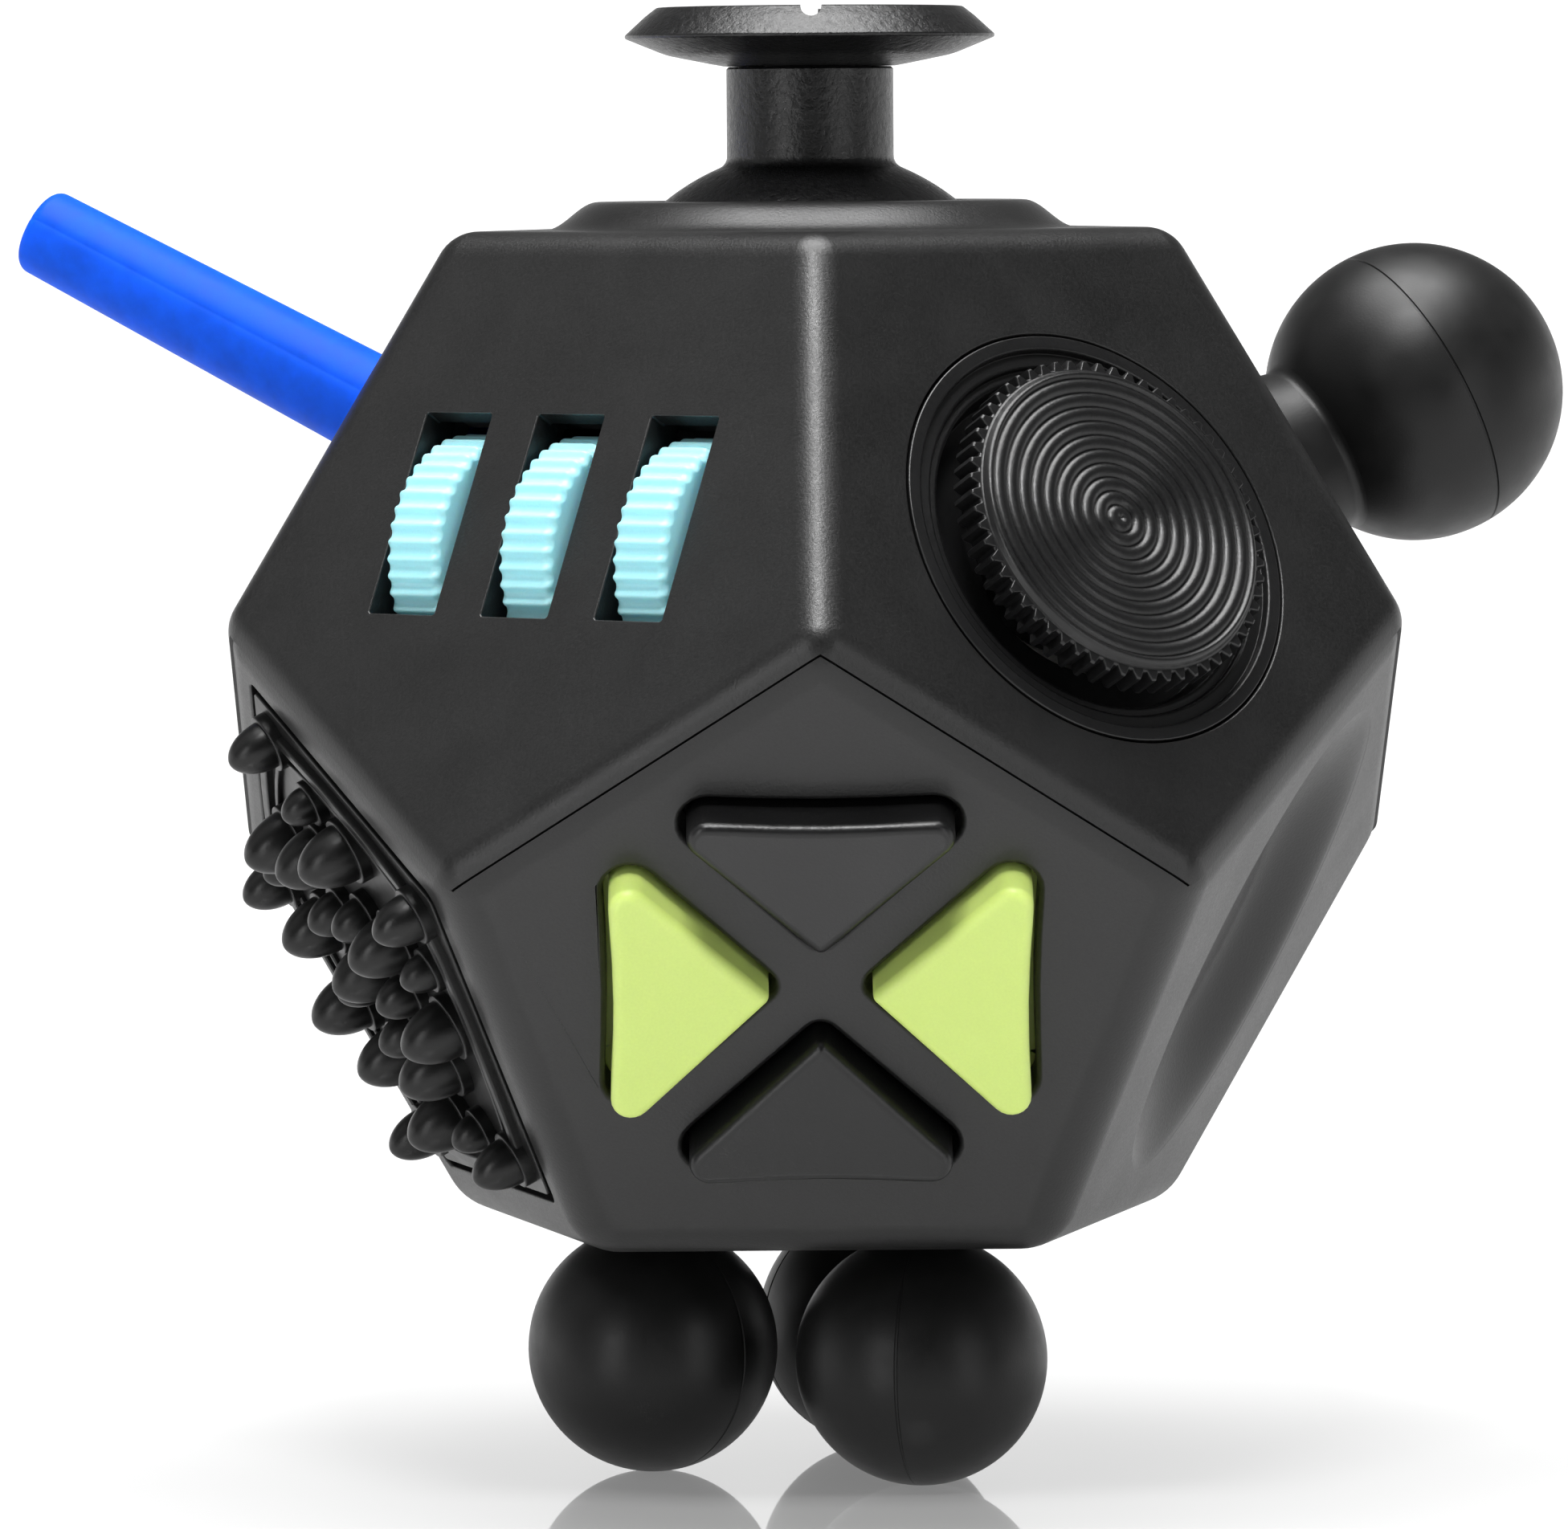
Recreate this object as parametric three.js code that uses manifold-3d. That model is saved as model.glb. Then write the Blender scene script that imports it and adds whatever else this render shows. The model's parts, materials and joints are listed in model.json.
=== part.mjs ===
// A twelve-sided fidget toy: two shell halves with a different play feature on each face.
// Millimetres, +Z up. The origin is on the table, under the middle of the three ball feet.
import * as THREE from 'three';
import { ConvexGeometry } from 'three/addons/geometries/ConvexGeometry.js';
import { mergeVertices } from 'three/addons/utils/BufferGeometryUtils.js';
import Module from 'manifold-3d';

const wasm = await Module();
wasm.setup();

// ---- driving dimensions ------------------------------------------------------------------
const EDGE = 20; // edge of the dodecahedron, corner to corner before rounding
const WALL = 2;
const FILLET = 1.6;
const SEAM_DROP = 1.05; // the halves part this far below the zigzag of middle edges
const SEAM_GAP = 0.2;
const GAP = 0.3; // clearance between pieces that don't move on each other
const SNUG = 0.12; // clearance round a screw or a pin
const SCREW = { shank: 0.5, head: 0.95, headHeight: 0.8 };

const STICK = { pivot: 15.4, dome: 10.4, domeWall: 1.2, domeHalfAngle: 60, neck: 3.73, neckTop: 29.4,
  rim: 8.36, rimZ: 30.8, crown: 6.76, crownZ: 32.15, boss: 23.5, bossTopR: 9.7, bossBaseR: 11.6 };
const ROLLER = { radius: 5.45, depth: 4.45, width: 3.0, pitch: 6.1, u: -0.2, axle: 1 };
const SLOT = { width: 3.55, low: -4.6, high: 5.0, relief: 5.5, reliefDepth: 1 };
const GLIDE = { u: 0.1, v: -1.0, bezel: 9.7, disc: 7.6, ridged: 6.9, top: 2.2, hub: 3.8, travel: 1.2 };
const CROSS = { apex: 1.64, outer: 9.42, hollow: 0.25, apexR: 0.7, cornerR: 1.2, tilt: 0.09 };
const PAD = { apothem: 11.35, corner: 0.8, depth: 1.2, top: 0.05 };
const SIDE_BALL = { radius: 6.8, out: 10.2, neck: 3 };
const ROD = { radius: 2.0, rootRadius: 2.35, length: 21, v: 3.4 };
const FOOT = { radius: 5.6, ring: 7.5, drop: 27.9, neck: 2, azimuths: [-83, 37, 157] };
const DISH = { u: 0, v: 1, halfU: 7.4, halfV: 11, depth: 1.6 };
const TOGGLE = { halfU: 2.9, halfV: 4.6, pivotDepth: 3.2, lean: 12 };
const BEARING_BALL = { radius: 4.5, depth: 2.3, clearance: 0.25 };
const DIAL = { radius: 8.6, low: 0.35, top: 2.4, hub: 2.6, notches: 10 };

// ---- the dodecahedron --------------------------------------------------------------------
const DEG = Math.PI / 180;
const PHI = (1 + Math.sqrt(5)) / 2;
const TOP_R = EDGE / (2 * Math.sin(36 * DEG)); // top and bottom corners, from the axis
const MID_R = TOP_R * PHI; // middle corners, from the axis
const INRADIUS = (EDGE * PHI * PHI) / (2 * Math.sqrt(3 - PHI));
const MID_Z = INRADIUS - TOP_R;
const FACE_TILT = Math.atan(0.5);
const STAND = FOOT.drop + FOOT.radius; // height of the body's centre above the table
const FIVE = [0, 1, 2, 3, 4];

// azimuth 0 is the front (-Y), and it grows towards the right (+X)
function ringPoint(radius, azimuth, z) {
  return new THREE.Vector3(radius * Math.sin(azimuth * DEG), -radius * Math.cos(azimuth * DEG), z);
}

function corners(scale = 1) {
  const list = FIVE.flatMap((i) => [
    ringPoint(TOP_R, 72 * i, INRADIUS),
    ringPoint(MID_R, 72 * i, MID_Z),
    ringPoint(MID_R, 72 * i + 36, -MID_Z),
    ringPoint(TOP_R, 72 * i + 36, -INRADIUS),
  ]);
  return list.map((p) => p.multiplyScalar(scale));
}

// u runs along the face, v up the face and n out of it
function faceMatrix(ring, azimuth = 0) {
  const tilt = { top: 90 * DEG, upper: FACE_TILT, lower: -FACE_TILT, bottom: -90 * DEG }[ring];
  const t = azimuth * DEG;
  const n = new THREE.Vector3(Math.sin(t) * Math.cos(tilt), -Math.cos(t) * Math.cos(tilt), Math.sin(tilt));
  const u = new THREE.Vector3(Math.cos(t), Math.sin(t), 0);
  const v = n.clone().cross(u);
  const m = new THREE.Matrix4().makeBasis(u, v, n);
  return m.setPosition(n.multiplyScalar(INRADIUS));
}

const FACE = {
  joystick: faceMatrix('top'),
  rollers: faceMatrix('upper', -36),
  glide: faceMatrix('upper', 36),
  sideBall: faceMatrix('upper', 108),
  rod: faceMatrix('upper', -108),
  toggle: faceMatrix('upper', 180),
  buttons: faceMatrix('lower', 0),
  massage: faceMatrix('lower', -72),
  dish: faceMatrix('lower', 72),
  bearingBall: faceMatrix('lower', -144),
  dial: faceMatrix('lower', 144),
  feet: faceMatrix('bottom'),
};

// ---- solids ------------------------------------------------------------------------------
function weld(geometry) {
  const bare = geometry.clone();
  bare.deleteAttribute('normal');
  bare.deleteAttribute('uv');
  const merged = mergeVertices(bare, 1e-4);
  const index = merged.index.array;
  const kept = [];
  for (let i = 0; i < index.length; i += 3) {
    const [a, b, c] = [index[i], index[i + 1], index[i + 2]];
    if (a !== b && b !== c && c !== a) kept.push(a, b, c);
  }
  if (signedVolume(merged, kept) < 0) kept.reverse();
  merged.setIndex(kept);
  return merged;
}

function signedVolume(geometry, index) {
  const at = geometry.attributes.position;
  const [a, b, c] = [new THREE.Vector3(), new THREE.Vector3(), new THREE.Vector3()];
  let total = 0;
  for (let i = 0; i < index.length; i += 3) {
    a.fromBufferAttribute(at, index[i]);
    b.fromBufferAttribute(at, index[i + 1]);
    c.fromBufferAttribute(at, index[i + 2]);
    total += a.dot(b.cross(c));
  }
  return total;
}

function asSolid(shape) {
  if (!shape.isBufferGeometry) return shape;
  const welded = weld(shape);
  return new wasm.Manifold(new wasm.Mesh({
    numProp: 3,
    vertProperties: new Float32Array(welded.attributes.position.array),
    triVerts: new Uint32Array(welded.index.array),
  }));
}

function join(...shapes) {
  return shapes.map(asSolid).reduce((a, b) => a.add(b));
}

function cut(shape, ...tools) {
  return tools.map(asSolid).reduce((a, b) => a.subtract(b), asSolid(shape));
}

function asGeometry(shape) {
  if (shape.isBufferGeometry) return weld(shape);
  const mesh = shape.getMesh();
  const geometry = new THREE.BufferGeometry();
  geometry.setAttribute('position', new THREE.BufferAttribute(new Float32Array(mesh.vertProperties), 3));
  geometry.setIndex(Array.from(mesh.triVerts));
  return geometry;
}

function moved(geometry, x, y, z) {
  return geometry.clone().translate(x, y, z);
}

function placed(geometry, matrix) {
  return geometry.clone().applyMatrix4(matrix);
}

function block([x0, x1], [y0, y1], [z0, z1]) {
  return new THREE.BoxGeometry(x1 - x0, y1 - y0, z1 - z0)
    .translate((x0 + x1) / 2, (y0 + y1) / 2, (z0 + z1) / 2);
}

function post(radius, z0, z1, x = 0, y = 0, sides = 16) {
  return new THREE.CylinderGeometry(radius, radius, z1 - z0, sides)
    .rotateX(Math.PI / 2)
    .translate(x, y, (z0 + z1) / 2);
}

// a bar of round section along u, from x0 to x1
function bar(radius, x0, x1, y, z, sides = 10) {
  return new THREE.CylinderGeometry(radius, radius, x1 - x0, sides)
    .rotateZ(Math.PI / 2)
    .translate((x0 + x1) / 2, y, z);
}

// a profile of [radius, height] points turned round the Z axis
function turned(profile, sides = 20) {
  const points = profile.map(([r, z]) => new THREE.Vector2(r, z));
  return new THREE.LatheGeometry(points, sides).rotateX(Math.PI / 2);
}

function ball(radius, x, y, z, sides = 16) {
  return new THREE.SphereGeometry(radius, sides, sides / 2).rotateX(Math.PI / 2).translate(x, y, z);
}

function prism(points, z0, z1) {
  const shape = new THREE.Shape(points);
  return new THREE.ExtrudeGeometry(shape, { depth: z1 - z0, bevelEnabled: false }).translate(0, 0, z0);
}

// [radius, height] points on an arc about a point on the axis; angles from the axis, in degrees
function arcProfile(radius, centreZ, from, to, steps) {
  return Array.from({ length: steps + 1 }, (_, i) => {
    const a = (from + ((to - from) * i) / steps) * DEG;
    return [radius * Math.sin(a), centreZ + radius * Math.cos(a)];
  });
}

// an outline with each corner rounded by its own radius
function rounded(outline, steps = 3) {
  return outline.flatMap(([x, y, radius], i) => {
    const [px, py] = outline[(i + outline.length - 1) % outline.length];
    const [nx, ny] = outline[(i + 1) % outline.length];
    const corner = new THREE.Vector2(x, y);
    const back = new THREE.Vector2(px - x, py - y).normalize();
    const ahead = new THREE.Vector2(nx - x, ny - y).normalize();
    const half = Math.acos(THREE.MathUtils.clamp(back.dot(ahead), -1, 1)) / 2;
    if (!radius || half > 85 * DEG) return [corner];
    const centre = back.clone().add(ahead).normalize().multiplyScalar(radius / Math.sin(half)).add(corner);
    const start = back.clone().multiplyScalar(radius / Math.tan(half)).add(corner).sub(centre);
    const end = ahead.clone().multiplyScalar(radius / Math.tan(half)).add(corner).sub(centre);
    const sweep = Math.atan2(start.cross(end), start.dot(end));
    return Array.from({ length: steps + 1 }, (_, k) =>
      start.clone().rotateAround(new THREE.Vector2(), (sweep * k) / steps).add(centre));
  });
}

// a regular pentagon with one corner up
function pentagon(apothem, corner) {
  const reach = apothem / Math.cos(36 * DEG);
  return rounded(FIVE.map((i) => {
    const a = (90 + 72 * i) * DEG;
    return [reach * Math.cos(a), reach * Math.sin(a), corner];
  }));
}

class Helix extends THREE.Curve {
  constructor(radius, z0, z1, turns) {
    super();
    Object.assign(this, { radius, z0, z1, turns });
  }

  getPoint(t) {
    const a = 2 * Math.PI * this.turns * t;
    return new THREE.Vector3(
      this.radius * Math.cos(a), this.radius * Math.sin(a), this.z0 + (this.z1 - this.z0) * t);
  }
}

function coil(radius, wire, z0, z1, turns) {
  const path = new Helix(radius, z0 + wire, z1 - wire, turns);
  const section = new THREE.Shape(FIVE.map((i) =>
    new THREE.Vector2(wire * Math.cos(72 * i * DEG), wire * Math.sin(72 * i * DEG))));
  return new THREE.ExtrudeGeometry(section, { extrudePath: path, steps: Math.round(10 * turns) });
}

// a pan-head screw driven along +Z: its shank ends at tip, its head is below seat
function screw(x, y, seat, tip) {
  const { shank, head, headHeight } = SCREW;
  const profile = [[0, seat - headHeight], [head, seat - headHeight], [head, seat], [shank, seat],
    [shank, tip], [0, tip]];
  return moved(turned(profile, 8), x, y, 0);
}

function screwHole(x, y, z0, z1) {
  return post(SCREW.shank + SNUG, z0, z1, x, y, 10);
}

// ---- finishes ----------------------------------------------------------------------------
const FINISH = {
  shell: { color: 0x2b2b2b, roughness: 0.55 },
  blackPlastic: { color: 0x242424, roughness: 0.5 },
  innerPlastic: { color: 0x3a3a3c, roughness: 0.6 },
  whitePlastic: { color: 0xd8d8d4, roughness: 0.55 },
  aqua: { color: 0xa8eef4, roughness: 0.4 },
  lime: { color: 0xcbe380, roughness: 0.4 },
  blackSilicone: { color: 0x303030, roughness: 0.7 },
  blueSilicone: { color: 0x2468f5, roughness: 0.5 },
  greySilicone: { color: 0x8c8c8c, roughness: 0.7 },
  steel: { color: 0xc8c8cc, roughness: 0.25, metalness: 1 },
};

const toy = new THREE.Group();
const body = new THREE.Group();
body.position.z = STAND;
toy.add(body);

function faceGroup(name) {
  const group = new THREE.Group();
  group.applyMatrix4(FACE[name]);
  body.add(group);
  return group;
}

function piece(parent, name, shape, finish) {
  const mesh = new THREE.Mesh(asGeometry(shape), new THREE.MeshStandardMaterial(FINISH[finish]));
  mesh.name = name;
  parent.add(mesh);
  return mesh;
}

// ---- places shared by the shell and the pieces that it holds --------------------------------
const CUP_SCREWS = [0, 144, -144].map((az) => ringPoint(11.2, az, 0));
const ROLLER_U = [-1, 0, 1].map((i) => ROLLER.u + i * ROLLER.pitch);
const ROLLER_SCREWS = [-4.5, 4.5];
const GLIDE_SCREWS = [90, 210, 330].map((a) =>
  [GLIDE.u + 10.0 * Math.cos(a * DEG), GLIDE.v + 10.0 * Math.sin(a * DEG)]);
const BUTTON_SCREWS = [[0, -11.5], [11.5, 1], [-11.5, 1]];
const TOGGLE_SCREWS = [-8.4, 8.4];
const BALL_CUP_SCREWS = [-7.2, 7.2];
const FOOT_SPOTS = FOOT.azimuths.map((az) => ringPoint(FOOT.ring, az, 0));

// One triangle of the button cross, its apex towards the middle; inset moves every side inwards.
function crossOutline(inset) {
  const apex = CROSS.apex + inset * Math.SQRT2;
  const outer = CROSS.outer - inset;
  const half = outer - apex;
  return rounded([
    [0, apex, CROSS.apexR],
    [half, outer, CROSS.cornerR],
    [half / 3, outer - CROSS.hollow, 0],
    [-half / 3, outer - CROSS.hollow, 0],
    [-half, outer, CROSS.cornerR],
  ]);
}

// ---- shell -------------------------------------------------------------------------------
function roundedBody() {
  const normals = Object.values(FACE).map((m) => new THREE.Vector3().setFromMatrixColumn(m, 2));
  const points = [];
  for (const corner of corners()) {
    const own = normals.filter((n) => n.dot(corner) > 0.99 * INRADIUS);
    const inner = corner.clone().multiplyScalar(1 - FILLET / INRADIUS);
    const steps = 3;
    for (let i = 0; i <= steps; i++) {
      for (let j = 0; j <= steps - i; j++) {
        const out = own[0].clone().multiplyScalar(i)
          .addScaledVector(own[1], j)
          .addScaledVector(own[2], steps - i - j);
        points.push(inner.clone().addScaledVector(out.normalize(), FILLET));
      }
    }
  }
  return new ConvexGeometry(points);
}

// everything above an umbrella-shaped surface that follows the zigzag of middle edges
function aboveSeam(drop) {
  const rim = FIVE.flatMap((i) => [
    ringPoint(MID_R, 72 * i, MID_Z),
    ringPoint(MID_R, 72 * i + 36, -MID_Z),
  ]).map((p) => p.multiplyScalar(1.6));
  const ends = [new THREE.Vector3(0, 0, 0), new THREE.Vector3(0, 0, 90)];
  const positions = [...rim, ...ends].flatMap((p) => [p.x, p.y, p.z - drop]);
  const faces = rim.flatMap((_, i) => {
    const next = (i + 1) % rim.length;
    return [i, rim.length, next, i, next, rim.length + 1];
  });
  const geometry = new THREE.BufferGeometry();
  geometry.setAttribute('position', new THREE.Float32BufferAttribute(positions, 3));
  geometry.setIndex(faces);
  return geometry;
}

function bossProfile() {
  const { boss, bossTopR, bossBaseR } = STICK;
  const rise = boss - INRADIUS;
  const slope = [0, 1, 2, 3, 4].map((i) => {
    const t = i / 4;
    return [bossBaseR + (bossTopR - bossBaseR) * t, INRADIUS + (rise * (1 - Math.cos(Math.PI * t))) / 2];
  });
  return [[0, 21], [bossBaseR, 21], ...slope, [0, boss]];
}

function pilot(matrix, [x, y], depth = 1.1) {
  return placed(screwHole(x, y, -WALL - 1, -WALL + depth), matrix);
}

function dishTool() {
  const sphereR = (DISH.halfU ** 2 + DISH.depth ** 2) / (2 * DISH.depth);
  const tool = new THREE.SphereGeometry(sphereR, 28, 24).rotateX(Math.PI / 2);
  tool.translate(0, 0, sphereR - DISH.depth).scale(1, DISH.halfV / DISH.halfU, 1);
  return placed(tool.translate(DISH.u, DISH.v, 0), FACE.dish);
}

function shell() {
  const outer = roundedBody();
  const hollow = new ConvexGeometry(corners(1 - WALL / INRADIUS));
  const bosses = CUP_SCREWS.map((p) => post(1.7, 17.5, 20.6, p.x, p.y, 10));
  const buttonBosses = BUTTON_SCREWS.map(([x, y]) => placed(post(1.3, -5.3, -1.8, x, y, 10), FACE.buttons));
  const dishBack = new THREE.CylinderGeometry(1, 1, 1.6, 20).rotateX(Math.PI / 2)
    .scale(DISH.halfU - 0.6, DISH.halfV - 0.9, 1).translate(DISH.u, DISH.v, -WALL - 0.7);
  const blank = join(cut(outer, hollow), ...bosses, ...buttonBosses, turned(bossProfile(), 28),
    placed(dishBack, FACE.dish));

  // each slot is longer on the inside, where the wheel is wider
  const slots = ROLLER_U.flatMap((u) => {
    const width = [u - SLOT.width / 2, u + SLOT.width / 2];
    return [block(width, [SLOT.low, SLOT.high], [-3, 1]),
      block(width, [-SLOT.relief, SLOT.relief], [-3, -SLOT.reliefDepth])];
  }).map((tool) => placed(tool, FACE.rollers));
  const triangles = [0, 90, 180, 270].map((a) =>
    placed(prism(crossOutline(0), -3, 1).rotateZ(a * DEG), FACE.buttons));
  const necks = FOOT_SPOTS.map((p) => post(FOOT.neck + GAP, -INRADIUS - 1, -INRADIUS + 3, p.x, p.y));
  const ballHole = ball(BEARING_BALL.radius + BEARING_BALL.clearance, 0, 0, -BEARING_BALL.depth, 24);

  return cut(blank,
    ball(STICK.dome + 0.25, 0, 0, STICK.pivot, 28),
    ...CUP_SCREWS.map((p) => screwHole(p.x, p.y, 16, 19.6)),
    ...slots,
    ...ROLLER_SCREWS.map((u) => pilot(FACE.rollers, [u, 8])),
    placed(post(GLIDE.bezel, -3, 1, GLIDE.u, GLIDE.v, 32), FACE.glide),
    ...triangles,
    ...BUTTON_SCREWS.map(([x, y]) => placed(screwHole(x, y, -6, -2.4), FACE.buttons)),
    placed(prism(pentagon(PAD.apothem, PAD.corner), -PAD.depth, 1), FACE.massage),
    placed(post(5.3, -4, 1), FACE.massage),
    dishTool(),
    placed(turned([[0, -3], [3.3, -3], [2.9, -1], [3.3, 1], [0, 1]]), FACE.sideBall),
    placed(moved(turned([[0, -3], [3.45, -3], [2.9, -1], [3.45, 1], [0, 1]]), 0, ROD.v, 0), FACE.rod),
    ...necks,
    placed(block([-TOGGLE.halfU - GAP, TOGGLE.halfU + GAP], [-5.4, 5.4], [-3, 1]), FACE.toggle),
    ...TOGGLE_SCREWS.map((v) => pilot(FACE.toggle, [0, v])),
    placed(ballHole, FACE.bearingBall),
    ...BALL_CUP_SCREWS.map((u) => pilot(FACE.bearingBall, [u, 0])),
    placed(post(DIAL.hub + GAP, -3, 1), FACE.dial),
    pilot(FACE.dial, [0, -8.2]),
  );
}

const wholeShell = shell();
piece(body, 'upper_shell', wholeShell.intersect(asSolid(aboveSeam(SEAM_DROP))), 'shell');
piece(body, 'lower_shell', cut(wholeShell, aboveSeam(SEAM_DROP + SEAM_GAP)), 'shell');

// ---- joystick, on the top face; heights are from the middle of the body ----------------------
function joystickStem() {
  const { pivot, dome, domeWall, domeHalfAngle, neck, neckTop } = STICK;
  const inner = dome - domeWall;
  const postR = 2;
  const profile = [
    [0, pivot - 2.8], [1.2, pivot - 2.8], [postR, pivot - 2],
    ...arcProfile(inner, pivot, Math.asin(postR / inner) / DEG, domeHalfAngle, 4),
    ...arcProfile(dome, pivot, domeHalfAngle, Math.asin(neck / dome) / DEG, 4),
    [neck, neckTop], [postR, neckTop], [postR, neckTop + 1.3], [0, neckTop + 1.3],
  ];
  const pins = bar(0.95, -5, 5, 0, 0).rotateZ(Math.PI / 2).translate(0, 0, pivot);
  return join(turned(profile, 22), pins);
}

function joystickCap() {
  const { rim, rimZ, crown, crownZ, neck, neckTop } = STICK;
  const seat = neckTop + 0.1;
  const cap = turned([
    [0, seat + 1.5], [2.2, seat + 1.5], [2.2, seat], [neck + 0.1, seat],
    [5.6, seat + 0.35], [7.2, rimZ - 0.5], [rim, rimZ], [7.7, crownZ - 0.55], [crown, crownZ],
    [crown - 0.5, crownZ], [0, crownZ - 0.6],
  ], 28);
  const notches = [0, 90, 180, 270].map((a) =>
    block([-0.48, 0.48], [-9, -5.2], [crownZ - 0.45, crownZ + 1]).rotateZ(a * DEG));
  return cut(cap, ...notches);
}

function gimbalRing() {
  const ring = turned([[3.3, 14.2], [5.3, 14.2], [5.3, 16.6], [3.3, 16.6], [3.3, 14.2]], 20);
  const trunnions = [bar(0.95, 5, 7.9, 0, STICK.pivot), bar(0.95, -7.9, -5, 0, STICK.pivot)];
  const eyes = bar(1.1, -6, 6, 0, 0).rotateZ(Math.PI / 2).translate(0, 0, STICK.pivot);
  return cut(join(ring, ...trunnions), eyes);
}

function joystickCup() {
  const cup = turned([
    [0, 8.3], [4.9, 8.3], [4.9, 11.6], [7.0, 11.6], [9.5, 16.3], [10.2, 16.3], [10.2, 17.2],
    [8.75, 17.2], [6.4, 12.6], [3.9, 12.6], [3.9, 9.3], [0, 9.3],
  ], 24);
  const ears = CUP_SCREWS.map((p) => post(1.7, 16.3, 17.2, p.x, p.y, 10));
  const screwHoles = CUP_SCREWS.map((p) => screwHole(p.x, p.y, 15, 18));
  const cradles = [[6.1, 8.2], [-8.2, -6.1]].map((span) => block(span, [-1.7, 1.7], [12.8, 16.6]));
  const grooves = [
    bar(1.1, -8.3, 8.3, 0, STICK.pivot),
    block([-8.3, 8.3], [-1.1, 1.1], [STICK.pivot, 18]),
  ];
  return cut(join(cup, ...ears, ...cradles), ...screwHoles, ...grooves);
}

piece(body, 'joystick_cap', joystickCap(), 'blackPlastic');
piece(body, 'joystick_stem', joystickStem(), 'blackPlastic');
piece(body, 'joystick_gimbal_ring', gimbalRing(), 'whitePlastic');
piece(body, 'joystick_cup', joystickCup(), 'innerPlastic');
piece(body, 'joystick_centring_plate', post(3.5, 11.1, 12.0), 'whitePlastic');
piece(body, 'joystick_spring', coil(2.7, 0.18, 9.5, 10.9, 2), 'steel');
CUP_SCREWS.forEach((p, i) => piece(body, `joystick_screw_${i + 1}`, screw(p.x, p.y, 16.1, 19.2), 'steel'));

// ---- three thumb rollers ---------------------------------------------------------------------
const rollers = faceGroup('rollers');

function rollerWheel(u) {
  const rim = bar(ROLLER.radius, -ROLLER.width / 2, ROLLER.width / 2, 0, 0, 36);
  const bore = bar(ROLLER.axle + 0.1, -3, 3, 0, 0);
  return cut(rim, bore).translate([u, 0, -ROLLER.depth]);
}

function rollerBracket() {
  const plate = block([-9.3, 9.0], [-7.2, 9.4], [-3.3, -2.3]);
  const cheeks = [[-9.3, -8.3], [8.0, 9.0]].map((span) => block(span, [-2.2, 2.2], [-6.4, -2.3]));
  const window = block([-8.3, 8.0], [-5.8, 5.8], [-4, -2]);
  const axleHole = bar(ROLLER.axle + SNUG, -10, 10, 0, -ROLLER.depth);
  return cut(join(plate, ...cheeks), window, axleHole, ...ROLLER_SCREWS.map((u) => screwHole(u, 8, -4, -2)));
}

function rollerComb() {
  const spine = block([-8.2, 7.8], [-7.2, -6.3], [-4.9, -3.6]);
  const fingers = ROLLER_U.map((u) => block([u - 0.7, u + 0.7], [-6.4, -5.8], [-4.8, -4.1]));
  return join(spine, ...fingers);
}

const ROLLER_NAMES = ['left', 'middle', 'right'];
ROLLER_U.forEach((u, i) => piece(rollers, `roller_wheel_${ROLLER_NAMES[i]}`, rollerWheel(u), 'aqua'));
piece(rollers, 'roller_axle', bar(ROLLER.axle, -9.6, 9.3, 0, -ROLLER.depth), 'steel');
piece(rollers, 'roller_bracket', rollerBracket(), 'innerPlastic');
piece(rollers, 'roller_click_comb', rollerComb(), 'whitePlastic');
ROLLER_SCREWS.forEach((u, i) => piece(rollers, `roller_screw_${i + 1}`, screw(u, 8, -3.4, -1.1), 'steel'));

// ---- glide disc ------------------------------------------------------------------------------
const glide = new THREE.Group();
glide.position.set(GLIDE.u, GLIDE.v, 0);
faceGroup('glide').add(glide);
const glideScrewSpots = GLIDE_SCREWS.map(([x, y]) => [x - GLIDE.u, y - GLIDE.v]);

function glideBezel() {
  const outer = GLIDE.bezel - 0.25;
  const ring = turned([
    [outer, -2.3], [outer, 0.05], [8.85, 0.05], [8.85, -0.25], [8.15, -0.25], [8.15, -0.55],
    [7.55, -0.55], [7.55, -1.9], [5.7, -1.9], [5.7, -3.1], [10.9, -3.1], [10.9, -2.3], [outer, -2.3],
  ], 26);
  return cut(ring, ...glideScrewSpots.map(([x, y]) => screwHole(x, y, -4, -2.6)));
}

function glideDisc() {
  const { disc, ridged, top, hub } = GLIDE;
  return turned([
    [0, -5.0], [2.0, -5.0], [2.0, -4.0], [hub, -4.0], [hub, 0.35], [disc, 0.35], [disc, top - 0.35],
    [ridged + 0.1, top - 0.35], [ridged, top], [0, top - 0.3],
  ], 28);
}

function glideHousing() {
  const cup = turned([
    [0, -8.6], [7.2, -8.6], [9.05, -5.6], [9.05, -4.3], [10.9, -4.3], [10.9, -3.4], [8.35, -3.4],
    [8.35, -5.4], [6.7, -7.7], [0, -7.7],
  ], 24);
  // a flat on the flange leaves room for the top button's corner
  const flat = block([10.1, 12], [-3.2, 3.2], [-5, -3]).rotateZ(230 * DEG);
  return cut(cup, flat, ...glideScrewSpots.map(([x, y]) => screwHole(x, y, -5, -3)));
}

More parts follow.
